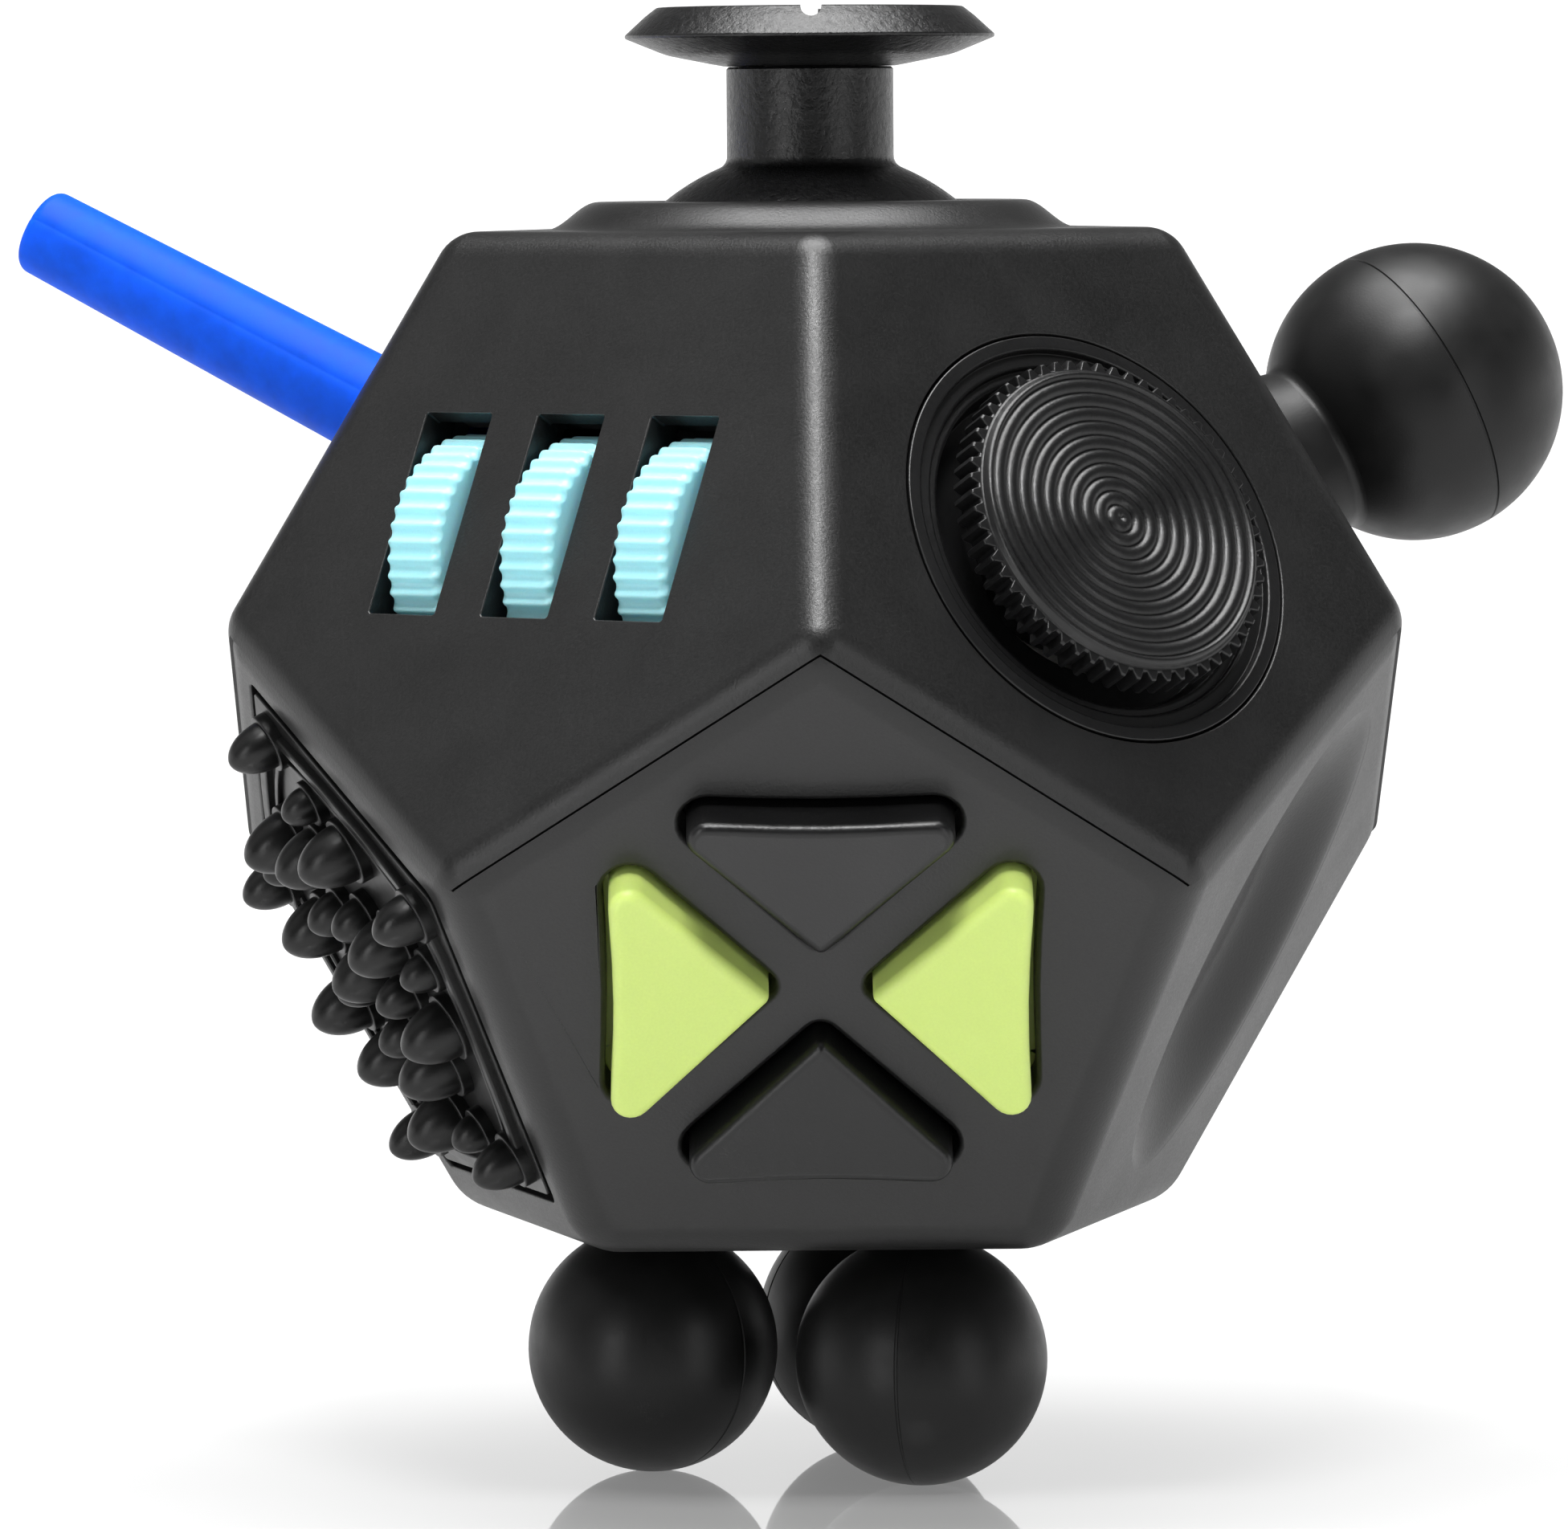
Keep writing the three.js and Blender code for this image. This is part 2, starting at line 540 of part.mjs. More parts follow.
// the slider lets the disc's hub travel along v, and slides along u itself
const hubSlide = GLIDE.travel + 0.15;
const hubHole = GLIDE.hub + 0.2;
const sliderHole = join(block([-hubHole, hubHole], [-hubSlide, hubSlide], [-5, -3]),
  post(hubHole, -5, -3, 0, hubSlide), post(hubHole, -5, -3, 0, -hubSlide));
piece(glide, 'glide_disc', glideDisc(), 'blackPlastic');
piece(glide, 'glide_bezel', glideBezel(), 'blackPlastic');
piece(glide, 'glide_cross_slider', cut(post(7, -3.8, -3.4, 0, 0, 20), sliderHole), 'blackPlastic');
piece(glide, 'glide_retainer',
  turned([[2.2, -4.9], [6.4, -4.9], [6.4, -4.3], [2.2, -4.3], [2.2, -4.9]], 18), 'whitePlastic');
piece(glide, 'glide_spring', coil(4, 0.25, -7.5, -5.3, 2.5), 'steel');
piece(glide, 'glide_housing', glideHousing(), 'innerPlastic');
glideScrewSpots.forEach(([x, y], i) =>
  piece(glide, `glide_screw_${i + 1}`, moved(screw(0, 0, -4.5, -2.8), x, y, 0), 'steel'));

// ---- four buttons ----------------------------------------------------------------------------
const buttons = faceGroup('buttons');
const BUTTONS = [['top', 0, 'blackPlastic'], ['left', 90, 'lime'], ['bottom', 180, 'blackPlastic'],
  ['right', 270, 'lime']];

function button() {
  const key = prism(crossOutline(GAP), -2.5, 2.4);
  const reach = asSolid(post(11.1, -4, -2, 0, 0, 32));
  const flange = asSolid(prism(crossOutline(-0.4), -3.2, -2.3)).intersect(reach);
  const above = block([-12, 12], [-12, 12], [0, 4]).rotateX(CROSS.tilt).translate(0, 0, 1.05);
  return join(cut(key, above), flange);
}

for (const [side, angle, finish] of BUTTONS) {
  const holder = new THREE.Group();
  holder.rotation.z = angle * DEG;
  buttons.add(holder);
  piece(holder, `button_${side}`, button(), finish);
}

function buttonMembrane() {
  const domes = [0, 90, 180, 270].map((a) =>
    post(2, -5.2, -4.5, 6.4 * Math.cos(a * DEG), 6.4 * Math.sin(a * DEG), 10));
  return join(post(9, -5.4, -4.95, 0, 0, 20), ...domes);
}

function buttonBackPlate() {
  const arms = BUTTON_SCREWS.map(([x, y]) => {
    const arm = block([0, Math.hypot(x, y)], [-1.4, 1.4], [-6.5, -5.7]);
    return join(arm.rotateZ(Math.atan2(y, x)), post(1.4, -6.5, -5.7, x, y, 10));
  });
  const holes = BUTTON_SCREWS.map(([x, y]) => screwHole(x, y, -7, -5));
  return cut(join(post(8.8, -6.5, -5.7, 0, 0, 20), ...arms), ...holes);
}

piece(buttons, 'button_membrane', buttonMembrane(), 'greySilicone');
piece(buttons, 'button_back_plate', buttonBackPlate(), 'innerPlastic');
BUTTON_SCREWS.forEach(([x, y], i) =>
  piece(buttons, `button_screw_${i + 1}`, screw(x, y, -6.7, -2.9), 'steel'));

// ---- massage pad -----------------------------------------------------------------------------
const massage = faceGroup('massage');
// rings of bumps: how many, how far out, angle of the first, radius, height
const BUMP_RINGS = [[1, 0, 90, 1.3, 2.7], [5, 3.3, 54, 1.0, 2.1], [5, 5.7, 90, 1.3, 2.7],
  [5, 7.6, 54, 1.3, 2.7], [5, 8.6, 76, 0.85, 1.8], [5, 11.2, 90, 1.1, 2.4]];
const RIB = { middle: 10.1, corner: 11.75, width: 0.6, height: 0.42 };

// a pentagon whose sides bow out
function bowed(offset) {
  return Array.from({ length: 40 }, (_, i) => {
    const a = (18 + 9 * i) * DEG;
    const r = RIB.middle + (RIB.corner - RIB.middle) * (((i % 8) - 4) / 4) ** 2 + offset;
    return new THREE.Vector2(r * Math.cos(a), r * Math.sin(a));
  });
}

function massagePad() {
  const base = prism(pentagon(PAD.apothem - 0.4, PAD.corner - 0.3), -PAD.depth + GAP, PAD.top);
  const rib = cut(prism(bowed(RIB.width / 2), -0.4, RIB.height), prism(bowed(-RIB.width / 2), -1, 1));
  const plug = turned([
    [0, -3.6], [4.6, -3.6], [5.9, -3.0], [5.9, -2.35], [5.0, -2.35], [5.0, -0.8], [0, -0.8],
  ]);
  const bumps = BUMP_RINGS.flatMap(([count, out, start, radius, height]) =>
    Array.from({ length: count }, (_, i) => {
      const a = (start + (360 / count) * i) * DEG;
      const dome = turned([[0, PAD.top - 0.2], [radius + 0.2, PAD.top - 0.2], [radius, PAD.top + 0.6],
        [radius * 0.65, PAD.top + 0.75 * height], [0, PAD.top + height]], 8);
      return moved(dome, out * Math.cos(a), out * Math.sin(a), 0);
    }));
  return join(base, plug, rib, ...bumps);
}

piece(massage, 'massage_pad', massagePad(), 'blackSilicone');

// ---- soft ball, soft rod and ball feet -----------------------------------------------------------
const sideBall = join(
  turned([[0, -4.6], [3.6, -4.6], [3.6, -3.2], [2.2, -3.2], [2.2, 0.8], [SIDE_BALL.neck, 1.6],
    [SIDE_BALL.neck, 6], [0, 6]], 16),
  ball(SIDE_BALL.radius, 0, 0, SIDE_BALL.out, 22));
piece(faceGroup('sideBall'), 'squeeze_ball', sideBall, 'blackSilicone');

const rod = turned([[0, -4.8], [3.2, -4.8], [3.2, -3.4], [ROD.rootRadius, -3.4],
  [ROD.rootRadius, 0], [ROD.radius, ROD.length - 0.6], [ROD.radius - 0.6, ROD.length], [0, ROD.length]], 14);
piece(faceGroup('rod'), 'flex_rod', moved(rod, 0, ROD.v, 0), 'blueSilicone');

FOOT_SPOTS.forEach((p, i) => {
  const anchor = turned([[0, -18.4], [3.2, -18.4], [3.2, -19.9], [FOOT.neck, -19.9], [FOOT.neck, -24],
    [0, -24]], 12);
  const foot = join(moved(anchor, p.x, p.y, 0), ball(FOOT.radius, p.x, p.y, -FOOT.drop));
  piece(body, `ball_foot_${['front', 'right', 'rear'][i]}`, foot, 'blackSilicone');
});

// ---- toggle on the rear face -----------------------------------------------------------------------
const toggle = faceGroup('toggle');

function toggleRocker() {
  const { halfU, halfV, pivotDepth, lean } = TOGGLE;
  const side = new THREE.Shape();
  side.moveTo(-halfV, 1.9);
  side.lineTo(0, 0.7);
  side.lineTo(halfV, 1.9);
  side.lineTo(halfV - 0.3, -1.6);
  side.lineTo(1.8, -3.6);
  side.absarc(0, -pivotDepth, 1.85, -0.2, -Math.PI + 0.2, true);
  side.lineTo(-halfV + 0.3, -1.6);
  const slab = new THREE.ExtrudeGeometry(side, { depth: 2 * halfU, bevelEnabled: false, curveSegments: 8 });
  slab.translate(0, 0, -halfU).rotateY(Math.PI / 2).rotateX(Math.PI / 2);
  const bore = bar(0.9, -4, 4, 0, -pivotDepth);
  return cut(slab, bore).translate([0, 0, pivotDepth]).rotate([-lean, 0, 0]).translate([0, 0, -pivotDepth]);
}

function toggleBracket() {
  const base = block([-4.4, 4.4], [-7.2, 7.2], [-7.2, -6.2]);
  const ears = [[-4.4, -3.3], [3.3, 4.4]].map((span) => block(span, [-1.7, 1.7], [-6.4, -2.4]));
  const columns = [[6.2, 7.2], [-7.2, -6.2]].map((span) => block([-2, 2], span, [-6.4, -2.4]));
  const feet = [[6.4, 9.6], [-9.6, -6.4]].map((span) => block([-2, 2], span, [-3.2, -2.4]));
  const holes = TOGGLE_SCREWS.map((v) => screwHole(0, v, -4, -2));
  return cut(join(base, ...ears, ...columns, ...feet), bar(0.92, -5, 5, 0, -TOGGLE.pivotDepth), ...holes);
}

piece(toggle, 'toggle_rocker', toggleRocker(), 'blackPlastic');
piece(toggle, 'toggle_pin', bar(0.8, -4.3, 4.3, 0, -TOGGLE.pivotDepth), 'steel');
piece(toggle, 'toggle_bracket', toggleBracket(), 'innerPlastic');
piece(toggle, 'toggle_leaf_spring', block([-1.6, 1.6], [-5.4, 5.4], [-5.9, -5.6]), 'steel');
TOGGLE_SCREWS.forEach((v, i) => piece(toggle, `toggle_screw_${i + 1}`, screw(0, v, -3.35, -1.1), 'steel'));

// ---- rolling ball in a cup, left rear ------------------------------------------------------------
const bearing = faceGroup('bearingBall');
const cupR = BEARING_BALL.radius + BEARING_BALL.clearance;

function ballCup() {
  const inside = arcProfile(cupR, -BEARING_BALL.depth, 180, 95, 5);
  const cup = turned([[0, -8.2], [4.2, -8.2], [6.1, -6.4], [6.1, -3.2], [8.4, -3.2], [8.4, -2.4],
    [cupR, -2.4], ...inside.reverse()], 22);
  return cut(cup, ...BALL_CUP_SCREWS.map((u) => screwHole(u, 0, -4, -2)));
}

piece(bearing, 'rolling_ball', ball(BEARING_BALL.radius, 0, 0, -BEARING_BALL.depth), 'steel');
piece(bearing, 'ball_cup', ballCup(), 'innerPlastic');
BALL_CUP_SCREWS.forEach((u, i) =>
  piece(bearing, `ball_cup_screw_${i + 1}`, screw(u, 0, -3.35, -1.1), 'steel'));

// ---- click dial, right rear ------------------------------------------------------------------------
const dial = faceGroup('dial');

function notched(radius, depth, count, z0, z1) {
  const points = Array.from({ length: 4 * count }, (_, i) => {
    const a = (Math.PI * i) / (2 * count);
    const r = radius - depth * Math.max(0, Math.cos(count * a)) ** 2;
    return new THREE.Vector2(r * Math.cos(a), r * Math.sin(a));
  });
  return prism(points, z0, z1);
}

const dialBody = join(notched(DIAL.radius, 0.9, DIAL.notches, DIAL.low, DIAL.top),
  turned([[0, -2.3], [DIAL.hub, -2.3], [DIAL.hub, 1], [0, 1]]),
  post(1.6, -3.5, -2));
piece(dial, 'click_dial', cut(dialBody, post(0.62, -4, -0.5, 0, 0, 10)), 'blackPlastic');
piece(dial, 'dial_ratchet', cut(notched(5.2, 0.5, 12, -3.5, -2.6), post(1.75, -4, -2, 0, 0, 12)),
  'whitePlastic');
piece(dial, 'dial_screw', turned([[0, -4.6], [2.4, -4.6], [2.4, -3.8], [0.5, -3.8], [0.5, -1], [0, -1]], 16),
  'steel');
piece(dial, 'dial_click_spring',
  cut(join(block([-2.5, 2.5], [-9.2, -7.2], [-3.0, -2.4]), block([-0.5, 0.5], [-7.4, -5.55], [-3.0, -2.4])),
    screwHole(0, -8.2, -4, -2)), 'steel');
piece(dial, 'dial_spring_screw', screw(0, -8.2, -3.15, -1.1), 'steel');

export default toy;
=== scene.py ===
"""Looks of a twelve-sided fidget toy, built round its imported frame.

Shapes are made in millimetres. Most are drawn in face coordinates, with u along the face, v up it
and n out of it, and the rest in body coordinates, with the body's centre at height 0.
"""
import math

import bmesh
import bpy
import numpy as np
from mathutils import Matrix, Vector
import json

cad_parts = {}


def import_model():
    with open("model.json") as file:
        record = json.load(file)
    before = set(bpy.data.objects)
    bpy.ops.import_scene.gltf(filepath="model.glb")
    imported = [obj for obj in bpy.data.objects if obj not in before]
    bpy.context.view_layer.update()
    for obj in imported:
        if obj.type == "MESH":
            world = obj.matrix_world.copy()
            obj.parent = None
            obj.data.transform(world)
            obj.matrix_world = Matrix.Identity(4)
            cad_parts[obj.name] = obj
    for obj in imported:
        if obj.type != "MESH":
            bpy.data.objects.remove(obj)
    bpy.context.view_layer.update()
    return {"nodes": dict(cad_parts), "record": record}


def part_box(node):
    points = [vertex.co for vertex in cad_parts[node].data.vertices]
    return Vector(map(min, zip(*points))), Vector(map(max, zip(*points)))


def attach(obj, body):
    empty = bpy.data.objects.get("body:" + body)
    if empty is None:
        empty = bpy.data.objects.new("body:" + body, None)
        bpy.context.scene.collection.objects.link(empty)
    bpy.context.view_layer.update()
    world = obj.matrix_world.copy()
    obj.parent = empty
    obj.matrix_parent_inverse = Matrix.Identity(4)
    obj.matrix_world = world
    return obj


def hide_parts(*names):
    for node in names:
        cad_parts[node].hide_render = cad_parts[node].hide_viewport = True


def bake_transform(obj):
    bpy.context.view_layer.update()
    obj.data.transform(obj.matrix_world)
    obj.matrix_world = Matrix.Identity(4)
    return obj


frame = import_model()

# ---- driving dimensions --------------------------------------------------------------------
MM = 0.001
DEG = math.pi / 180
EDGE = 20.0
WALL = 2.0
FILLET = dict(upper=2.0, lower=2.8)
SEAM_DROP = 0.5  # the halves part this far below the zigzag of middle edges
SEAM_GAP = 0.09
GAP = 0.3  # clearance round a moving piece
PHI = (1 + math.sqrt(5)) / 2
TOP_R = EDGE / (2 * math.sin(36 * DEG))
MID_R = TOP_R * PHI
INRADIUS = EDGE * PHI**2 / (2 * math.sqrt(3 - PHI))
MID_Z = INRADIUS - TOP_R
CENTRE_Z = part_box("lower_shell")[0].z / MM + INRADIUS

STICK = dict(pivot=15.4, dome=10.4, dome_angle=58, neck=3.73, neck_top=29.4, rim=8.36, rim_z=30.8,
             crown=6.76, crown_z=32.15, boss=23.5, boss_top_r=9.5, boss_base_r=11.6, opening=10.65)
ROLLER = dict(radius=5.45, depth=4.45, width=3.0, pitch=6.1, u=-0.2, scallops=44, scallop=0.2)
SLOT = dict(width=3.55, low=-4.6, high=5.0, relief=5.5, relief_depth=1)
GLIDE = dict(u=0.1, v=-1.0, bezel=9.7, disc=7.6, hub=3.8, ridged=6.9, top=2.2, ridges=10.5, teeth=60)
CROSS = dict(apex=1.64, outer=9.42, hollow=0.25, apex_r=0.7, corner_r=1.2, rise=1.05, slope=0.0902)
PAD = dict(apothem=11.35, corner=0.8, depth=1.2, top=0.05)
# rings of bumps on the pad: how many, how far out, angle of the first, radius, height
BUMP_RINGS = ((1, 0, 90, 1.35, 2.8), (5, 3.3, 54, 1.0, 2.1), (5, 5.7, 90, 1.35, 2.8),
              (5, 7.6, 54, 1.35, 2.8), (5, 8.6, 76, 0.85, 1.8), (5, 11.2, 90, 1.1, 2.4))
SIDE_BALL = dict(radius=6.8, out=10.2, neck=3.9)
ROD = dict(radius=2.0, root=2.35, length=21.0, v=3.4)
FOOT = dict(radius=5.6, ring=7.5, drop=27.9, neck=2.0, azimuths=(-83, 37, 157))
DISH = dict(u=0.0, v=0.7, half_u=7.4, half_v=11.4, depth=1.8)
TOGGLE = dict(half_u=2.9, half_v=4.6, pivot_depth=3.2, lean=12)
BEARING_BALL = dict(radius=4.5, depth=2.3, clearance=0.25)
DIAL = dict(radius=8.6, low=0.35, top=2.4, hub=2.6, notches=10)


# ---- places -------------------------------------------------------------------------------
def ring_point(radius, azimuth, z):
    """Azimuth 0 is the front, and it grows towards the right."""
    a = azimuth * DEG
    return np.array([radius * math.sin(a), -radius * math.cos(a), z])


def face_matrix(ring, azimuth=0.0):
    """Face coordinates to body coordinates."""
    tilt = {"top": 90, "upper": 26.565051, "lower": -26.565051, "bottom": -90}[ring] * DEG
    t = azimuth * DEG
    n = np.array([math.sin(t) * math.cos(tilt), -math.cos(t) * math.cos(tilt), math.sin(tilt)])
    u = np.array([math.cos(t), math.sin(t), 0.0])
    m = np.eye(4)
    m[:3, 0], m[:3, 1], m[:3, 2], m[:3, 3] = u, np.cross(n, u), n, n * INRADIUS
    return m


FACE = {
    "joystick": face_matrix("top"),
    "rollers": face_matrix("upper", -36),
    "glide": face_matrix("upper", 36),
    "side_ball": face_matrix("upper", 108),
    "rod": face_matrix("upper", -108),
    "toggle": face_matrix("upper", 180),
    "buttons": face_matrix("lower", 0),
    "massage": face_matrix("lower", -72),
    "dish": face_matrix("lower", 72),
    "bearing_ball": face_matrix("lower", -144),
    "dial": face_matrix("lower", 144),
    "feet": face_matrix("bottom"),
}
NORMALS = [m[:3, 2] for m in FACE.values()]
FACE_AXES = [(m[:3, 0], m[:3, 1]) for m in FACE.values()]
BODY = np.eye(4)


def shift(x=0.0, y=0.0, z=0.0):
    """A matrix that moves by (x, y, z)."""
    m = np.eye(4)
    m[:3, 3] = x, y, z
    return m


def turn(angle, axis="Z"):
    """A matrix that turns by an angle in degrees."""
    return np.array(Matrix.Rotation(angle * DEG, 4, axis))


def in_frame(matrix, point):
    """A point of face coordinates, in metres in the frame."""
    p = (matrix @ np.array([*point, 1.0]))[:3] + np.array([0, 0, CENTRE_Z])
    return tuple(p * MM)


# ---- shapes: each is (vertices, faces) --------------------------------------------------------
def softened(points, steps=5, closed=False):
    """A line through (x, y) or (x, y, radius) points, with each corner rounded by its radius."""
    out = []
    count = len(points)
    for i, (x, y, *radius) in enumerate(points):
        corner = np.array([x, y], float)
        ends = not closed and i in (0, count - 1)
        if not radius or not radius[0] or ends:
            out.append(corner)
            continue
        back = np.array(points[i - 1][:2], float) - corner
        ahead = np.array(points[(i + 1) % count][:2], float) - corner
        back, ahead = back / np.linalg.norm(back), ahead / np.linalg.norm(ahead)
        half = math.acos(np.clip(back @ ahead, -1, 1)) / 2
        middle = (back + ahead) / np.linalg.norm(back + ahead)
        centre = corner + middle * radius[0] / math.sin(half)
        start = corner + back * radius[0] / math.tan(half) - centre
        end = corner + ahead * radius[0] / math.tan(half) - centre
        sweep = math.atan2(start[0] * end[1] - start[1] * end[0], start @ end)
        for k in range(steps + 1):
            a = sweep * k / steps
            out.append(centre + [start[0] * math.cos(a) - start[1] * math.sin(a),
                                 start[0] * math.sin(a) + start[1] * math.cos(a)])
    return np.array(out)


def arc(radius, centre_z, start, end, steps):
    """(radius, height) points on an arc about the axis; angles from the axis."""
    a = np.linspace(start, end, steps + 1) * DEG
    return [(radius * math.sin(x), centre_z + radius * math.cos(x)) for x in a]


def rings_to_mesh(rings, closed_ends=True):
    """Joins rings of equally many points. A ring of one point is a tip."""
    verts, faces, starts = [], [], []
    for ring in rings:
        starts.append(len(verts))
        verts.extend(ring)
    for i in range(len(rings) - 1):
        a, b = len(rings[i]), len(rings[i + 1])
        n = max(a, b)
        for k in range(n):
            j = (k + 1) % n
            corners = [starts[i] + (k if a > 1 else 0), starts[i] + (j if a > 1 else 0),
                       starts[i + 1] + (j if b > 1 else 0), starts[i + 1] + (k if b > 1 else 0)]
            faces.append(tuple(dict.fromkeys(corners)))
    if closed_ends:
        for i, order in ((0, -1), (len(rings) - 1, 1)):
            n = len(rings[i])
            if n > 1:
                faces.append(tuple(starts[i] + k for k in range(n))[::order])
    return np.array(verts, float), faces


def lathe(profile, segments=96, shape=None, angles=None):
    """Turns (radius, height) points round the n axis. shape(r, h, angle) may move them.
    A profile that starts off the axis is a ring, and closes on itself."""
    on_axis = 1e-9
    points = [(float(p[0]), float(p[1])) for p in profile]
    if angles is None:
        angles = np.arange(segments) * 2 * math.pi / segments
    rings = []
    for r, h in points:
        if r < on_axis:
            rings.append(np.array([[0.0, 0.0, h]]))
            continue
        rr, hh = np.full(len(angles), r), np.full(len(angles), h)
        if shape:
            rr, hh = shape(rr, hh, angles)
        rings.append(np.stack([rr * np.cos(angles), rr * np.sin(angles), hh], 1))
    hollow = points[0][0] > on_axis
    if hollow:
        rings.append(rings[0])
    return rings_to_mesh(rings, closed_ends=not hollow)


def loft(levels):
    """Joins outlines, each (points, heights)."""
    rings = []
    for outline, height in levels:
        h = np.full(len(outline), height) if np.isscalar(height) else height
        rings.append(np.column_stack([outline, h]))
    return rings_to_mesh(rings)


def box(u, v, n):
    """A block between two values along each axis."""
    outline = np.array([[u[0], v[0]], [u[1], v[0]], [u[1], v[1]], [u[0], v[1]]])
    return loft([(outline, n[0]), (outline, n[1])])


def moved(mesh, matrix):
    verts, faces = mesh
    return verts @ matrix[:3, :3].T + matrix[:3, 3], faces


def joined(*meshes):
    """Several shapes as one."""
    verts, faces, at = [], [], 0
    for v, f in meshes:
        verts.append(v)
        faces += [tuple(i + at for i in face) for face in f]
        at += len(v)
    return np.concatenate(verts), faces


def welded(mesh, digits=5):
    """Merges vertices that lie on each other."""
    verts, faces = mesh
    keys, index, kept = {}, [], []
    for v in verts:
        key = tuple(np.round(v, digits) + 0.0)
        if key not in keys:
            keys[key] = len(kept)
            kept.append(v)
        index.append(keys[key])
    out = []
    for face in faces:
        f = tuple(dict.fromkeys(index[i] for i in face))
        if len(f) > 2:
            out.append(f)
    return np.array(kept), out


def pentagon(apothem, corner, steps=8):
    """A regular pentagon with its tip up and its corners rounded."""
    reach = apothem / math.cos(36 * DEG)
    return softened([(reach * math.cos(a * DEG), reach * math.sin(a * DEG), corner)
                     for a in range(90, 450, 72)], steps, closed=True)


# ---- objects ------------------------------------------------------------------------------
def to_object(name, mesh, matrix=BODY):
    """An object in millimetres, in body coordinates, with its faces pointing out."""
    verts, faces = moved(welded(mesh), matrix)
    data = bpy.data.meshes.new(name)
    data.from_pydata(verts.tolist(), [], faces)
    tidy = bmesh.new()
    tidy.from_mesh(data)
    bmesh.ops.recalc_face_normals(tidy, faces=tidy.faces)
    if tidy.calc_volume(signed=True) < 0:
        bmesh.ops.reverse_faces(tidy, faces=tidy.faces)
    tidy.to_mesh(data)
    tidy.free()
    obj = bpy.data.objects.new(name, data)
    bpy.context.scene.collection.objects.link(obj)
    return obj


def boolean(target, tool, operation="DIFFERENCE"):
    """Cuts, joins or intersects the target with the tool, an object, and removes the tool."""
    modifier = target.modifiers.new("cut", "BOOLEAN")
    modifier.object = tool
    modifier.operation = operation
    modifier.solver = "MANIFOLD"
    graph = bpy.context.evaluated_depsgraph_get()
    result = bpy.data.meshes.new_from_object(target.evaluated_get(graph))
    target.modifiers.clear()
    old = target.data
    target.data = result
    bpy.data.meshes.remove(old)
    data = tool.data
    bpy.data.objects.remove(tool)
    bpy.data.meshes.remove(data)
    return target


def cut(target, *tools):
    for mesh, matrix in tools:
        boolean(target, to_object("tool", mesh, matrix))
    return target


def join(target, *tools):
    for mesh, matrix in tools:
        boolean(target, to_object("tool", mesh, matrix), "UNION")
    return target


def shade(obj, angle=32.0, planes=()):
    """Smooth normals between faces that meet at less than angle, led by the larger faces.
    Faces that lie in one of the planes, given as (normal, distance), stay flat to their edges."""
    data = obj.data
    count = len(data.polygons)
    normals = np.empty(count * 3)
    centres = np.empty(count * 3)
    areas = np.empty(count)
    data.polygons.foreach_get("normal", normals)
    data.polygons.foreach_get("center", centres)
    data.polygons.foreach_get("area", areas)
    normals, centres = normals.reshape(-1, 3), centres.reshape(-1, 3)
    weights = areas + 1e-9
    for normal, distance in planes:
        flat = (normals @ normal > 0.99999) & (abs(centres @ normal - distance) < 2e-3)
        weights[flat] += 1e4
    corners = np.empty(len(data.loops), int)
    data.loops.foreach_get("vertex_index", corners)
    owner = np.empty(len(data.loops), int)
    for polygon in data.polygons:
        owner[polygon.loop_start:polygon.loop_start + polygon.loop_total] = polygon.index
    order = np.argsort(corners, kind="stable")
    splits = np.flatnonzero(np.diff(corners[order])) + 1
    custom = np.zeros((len(data.loops), 3))
    limit = math.cos(angle * DEG)
    for group in np.split(order, splits):
        faces = owner[group]
        n = normals[faces]
        near = (n @ n.T) > limit
        custom[group] = near @ (n * weights[faces][:, None])
    custom /= np.maximum(np.linalg.norm(custom, axis=1), 1e-12)[:, None]
    data.polygons.foreach_set("use_smooth", [True] * count)
    data.normals_split_custom_set(custom.tolist())
    return obj


def finished(obj, body, material, slot, replaces=(), angle=32.0, planes=(), blend=None):
    """Moves an object from millimetres in body coordinates to its place, gives it its material, and hides the
    frame pieces that it replaces.
    """
    shade(obj, angle, planes)
    obj.data.transform(Matrix.Diagonal((MM, MM, MM, 1)) @ Matrix.Translation((0, 0, CENTRE_Z)))
    obj.data.update()
    obj.data.materials.clear()
    obj.data.materials.append(material)
    if blend:
        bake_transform(obj)
    else:
        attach(obj, body)
    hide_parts(*([replaces] if isinstance(replaces, str) else replaces))
    return obj


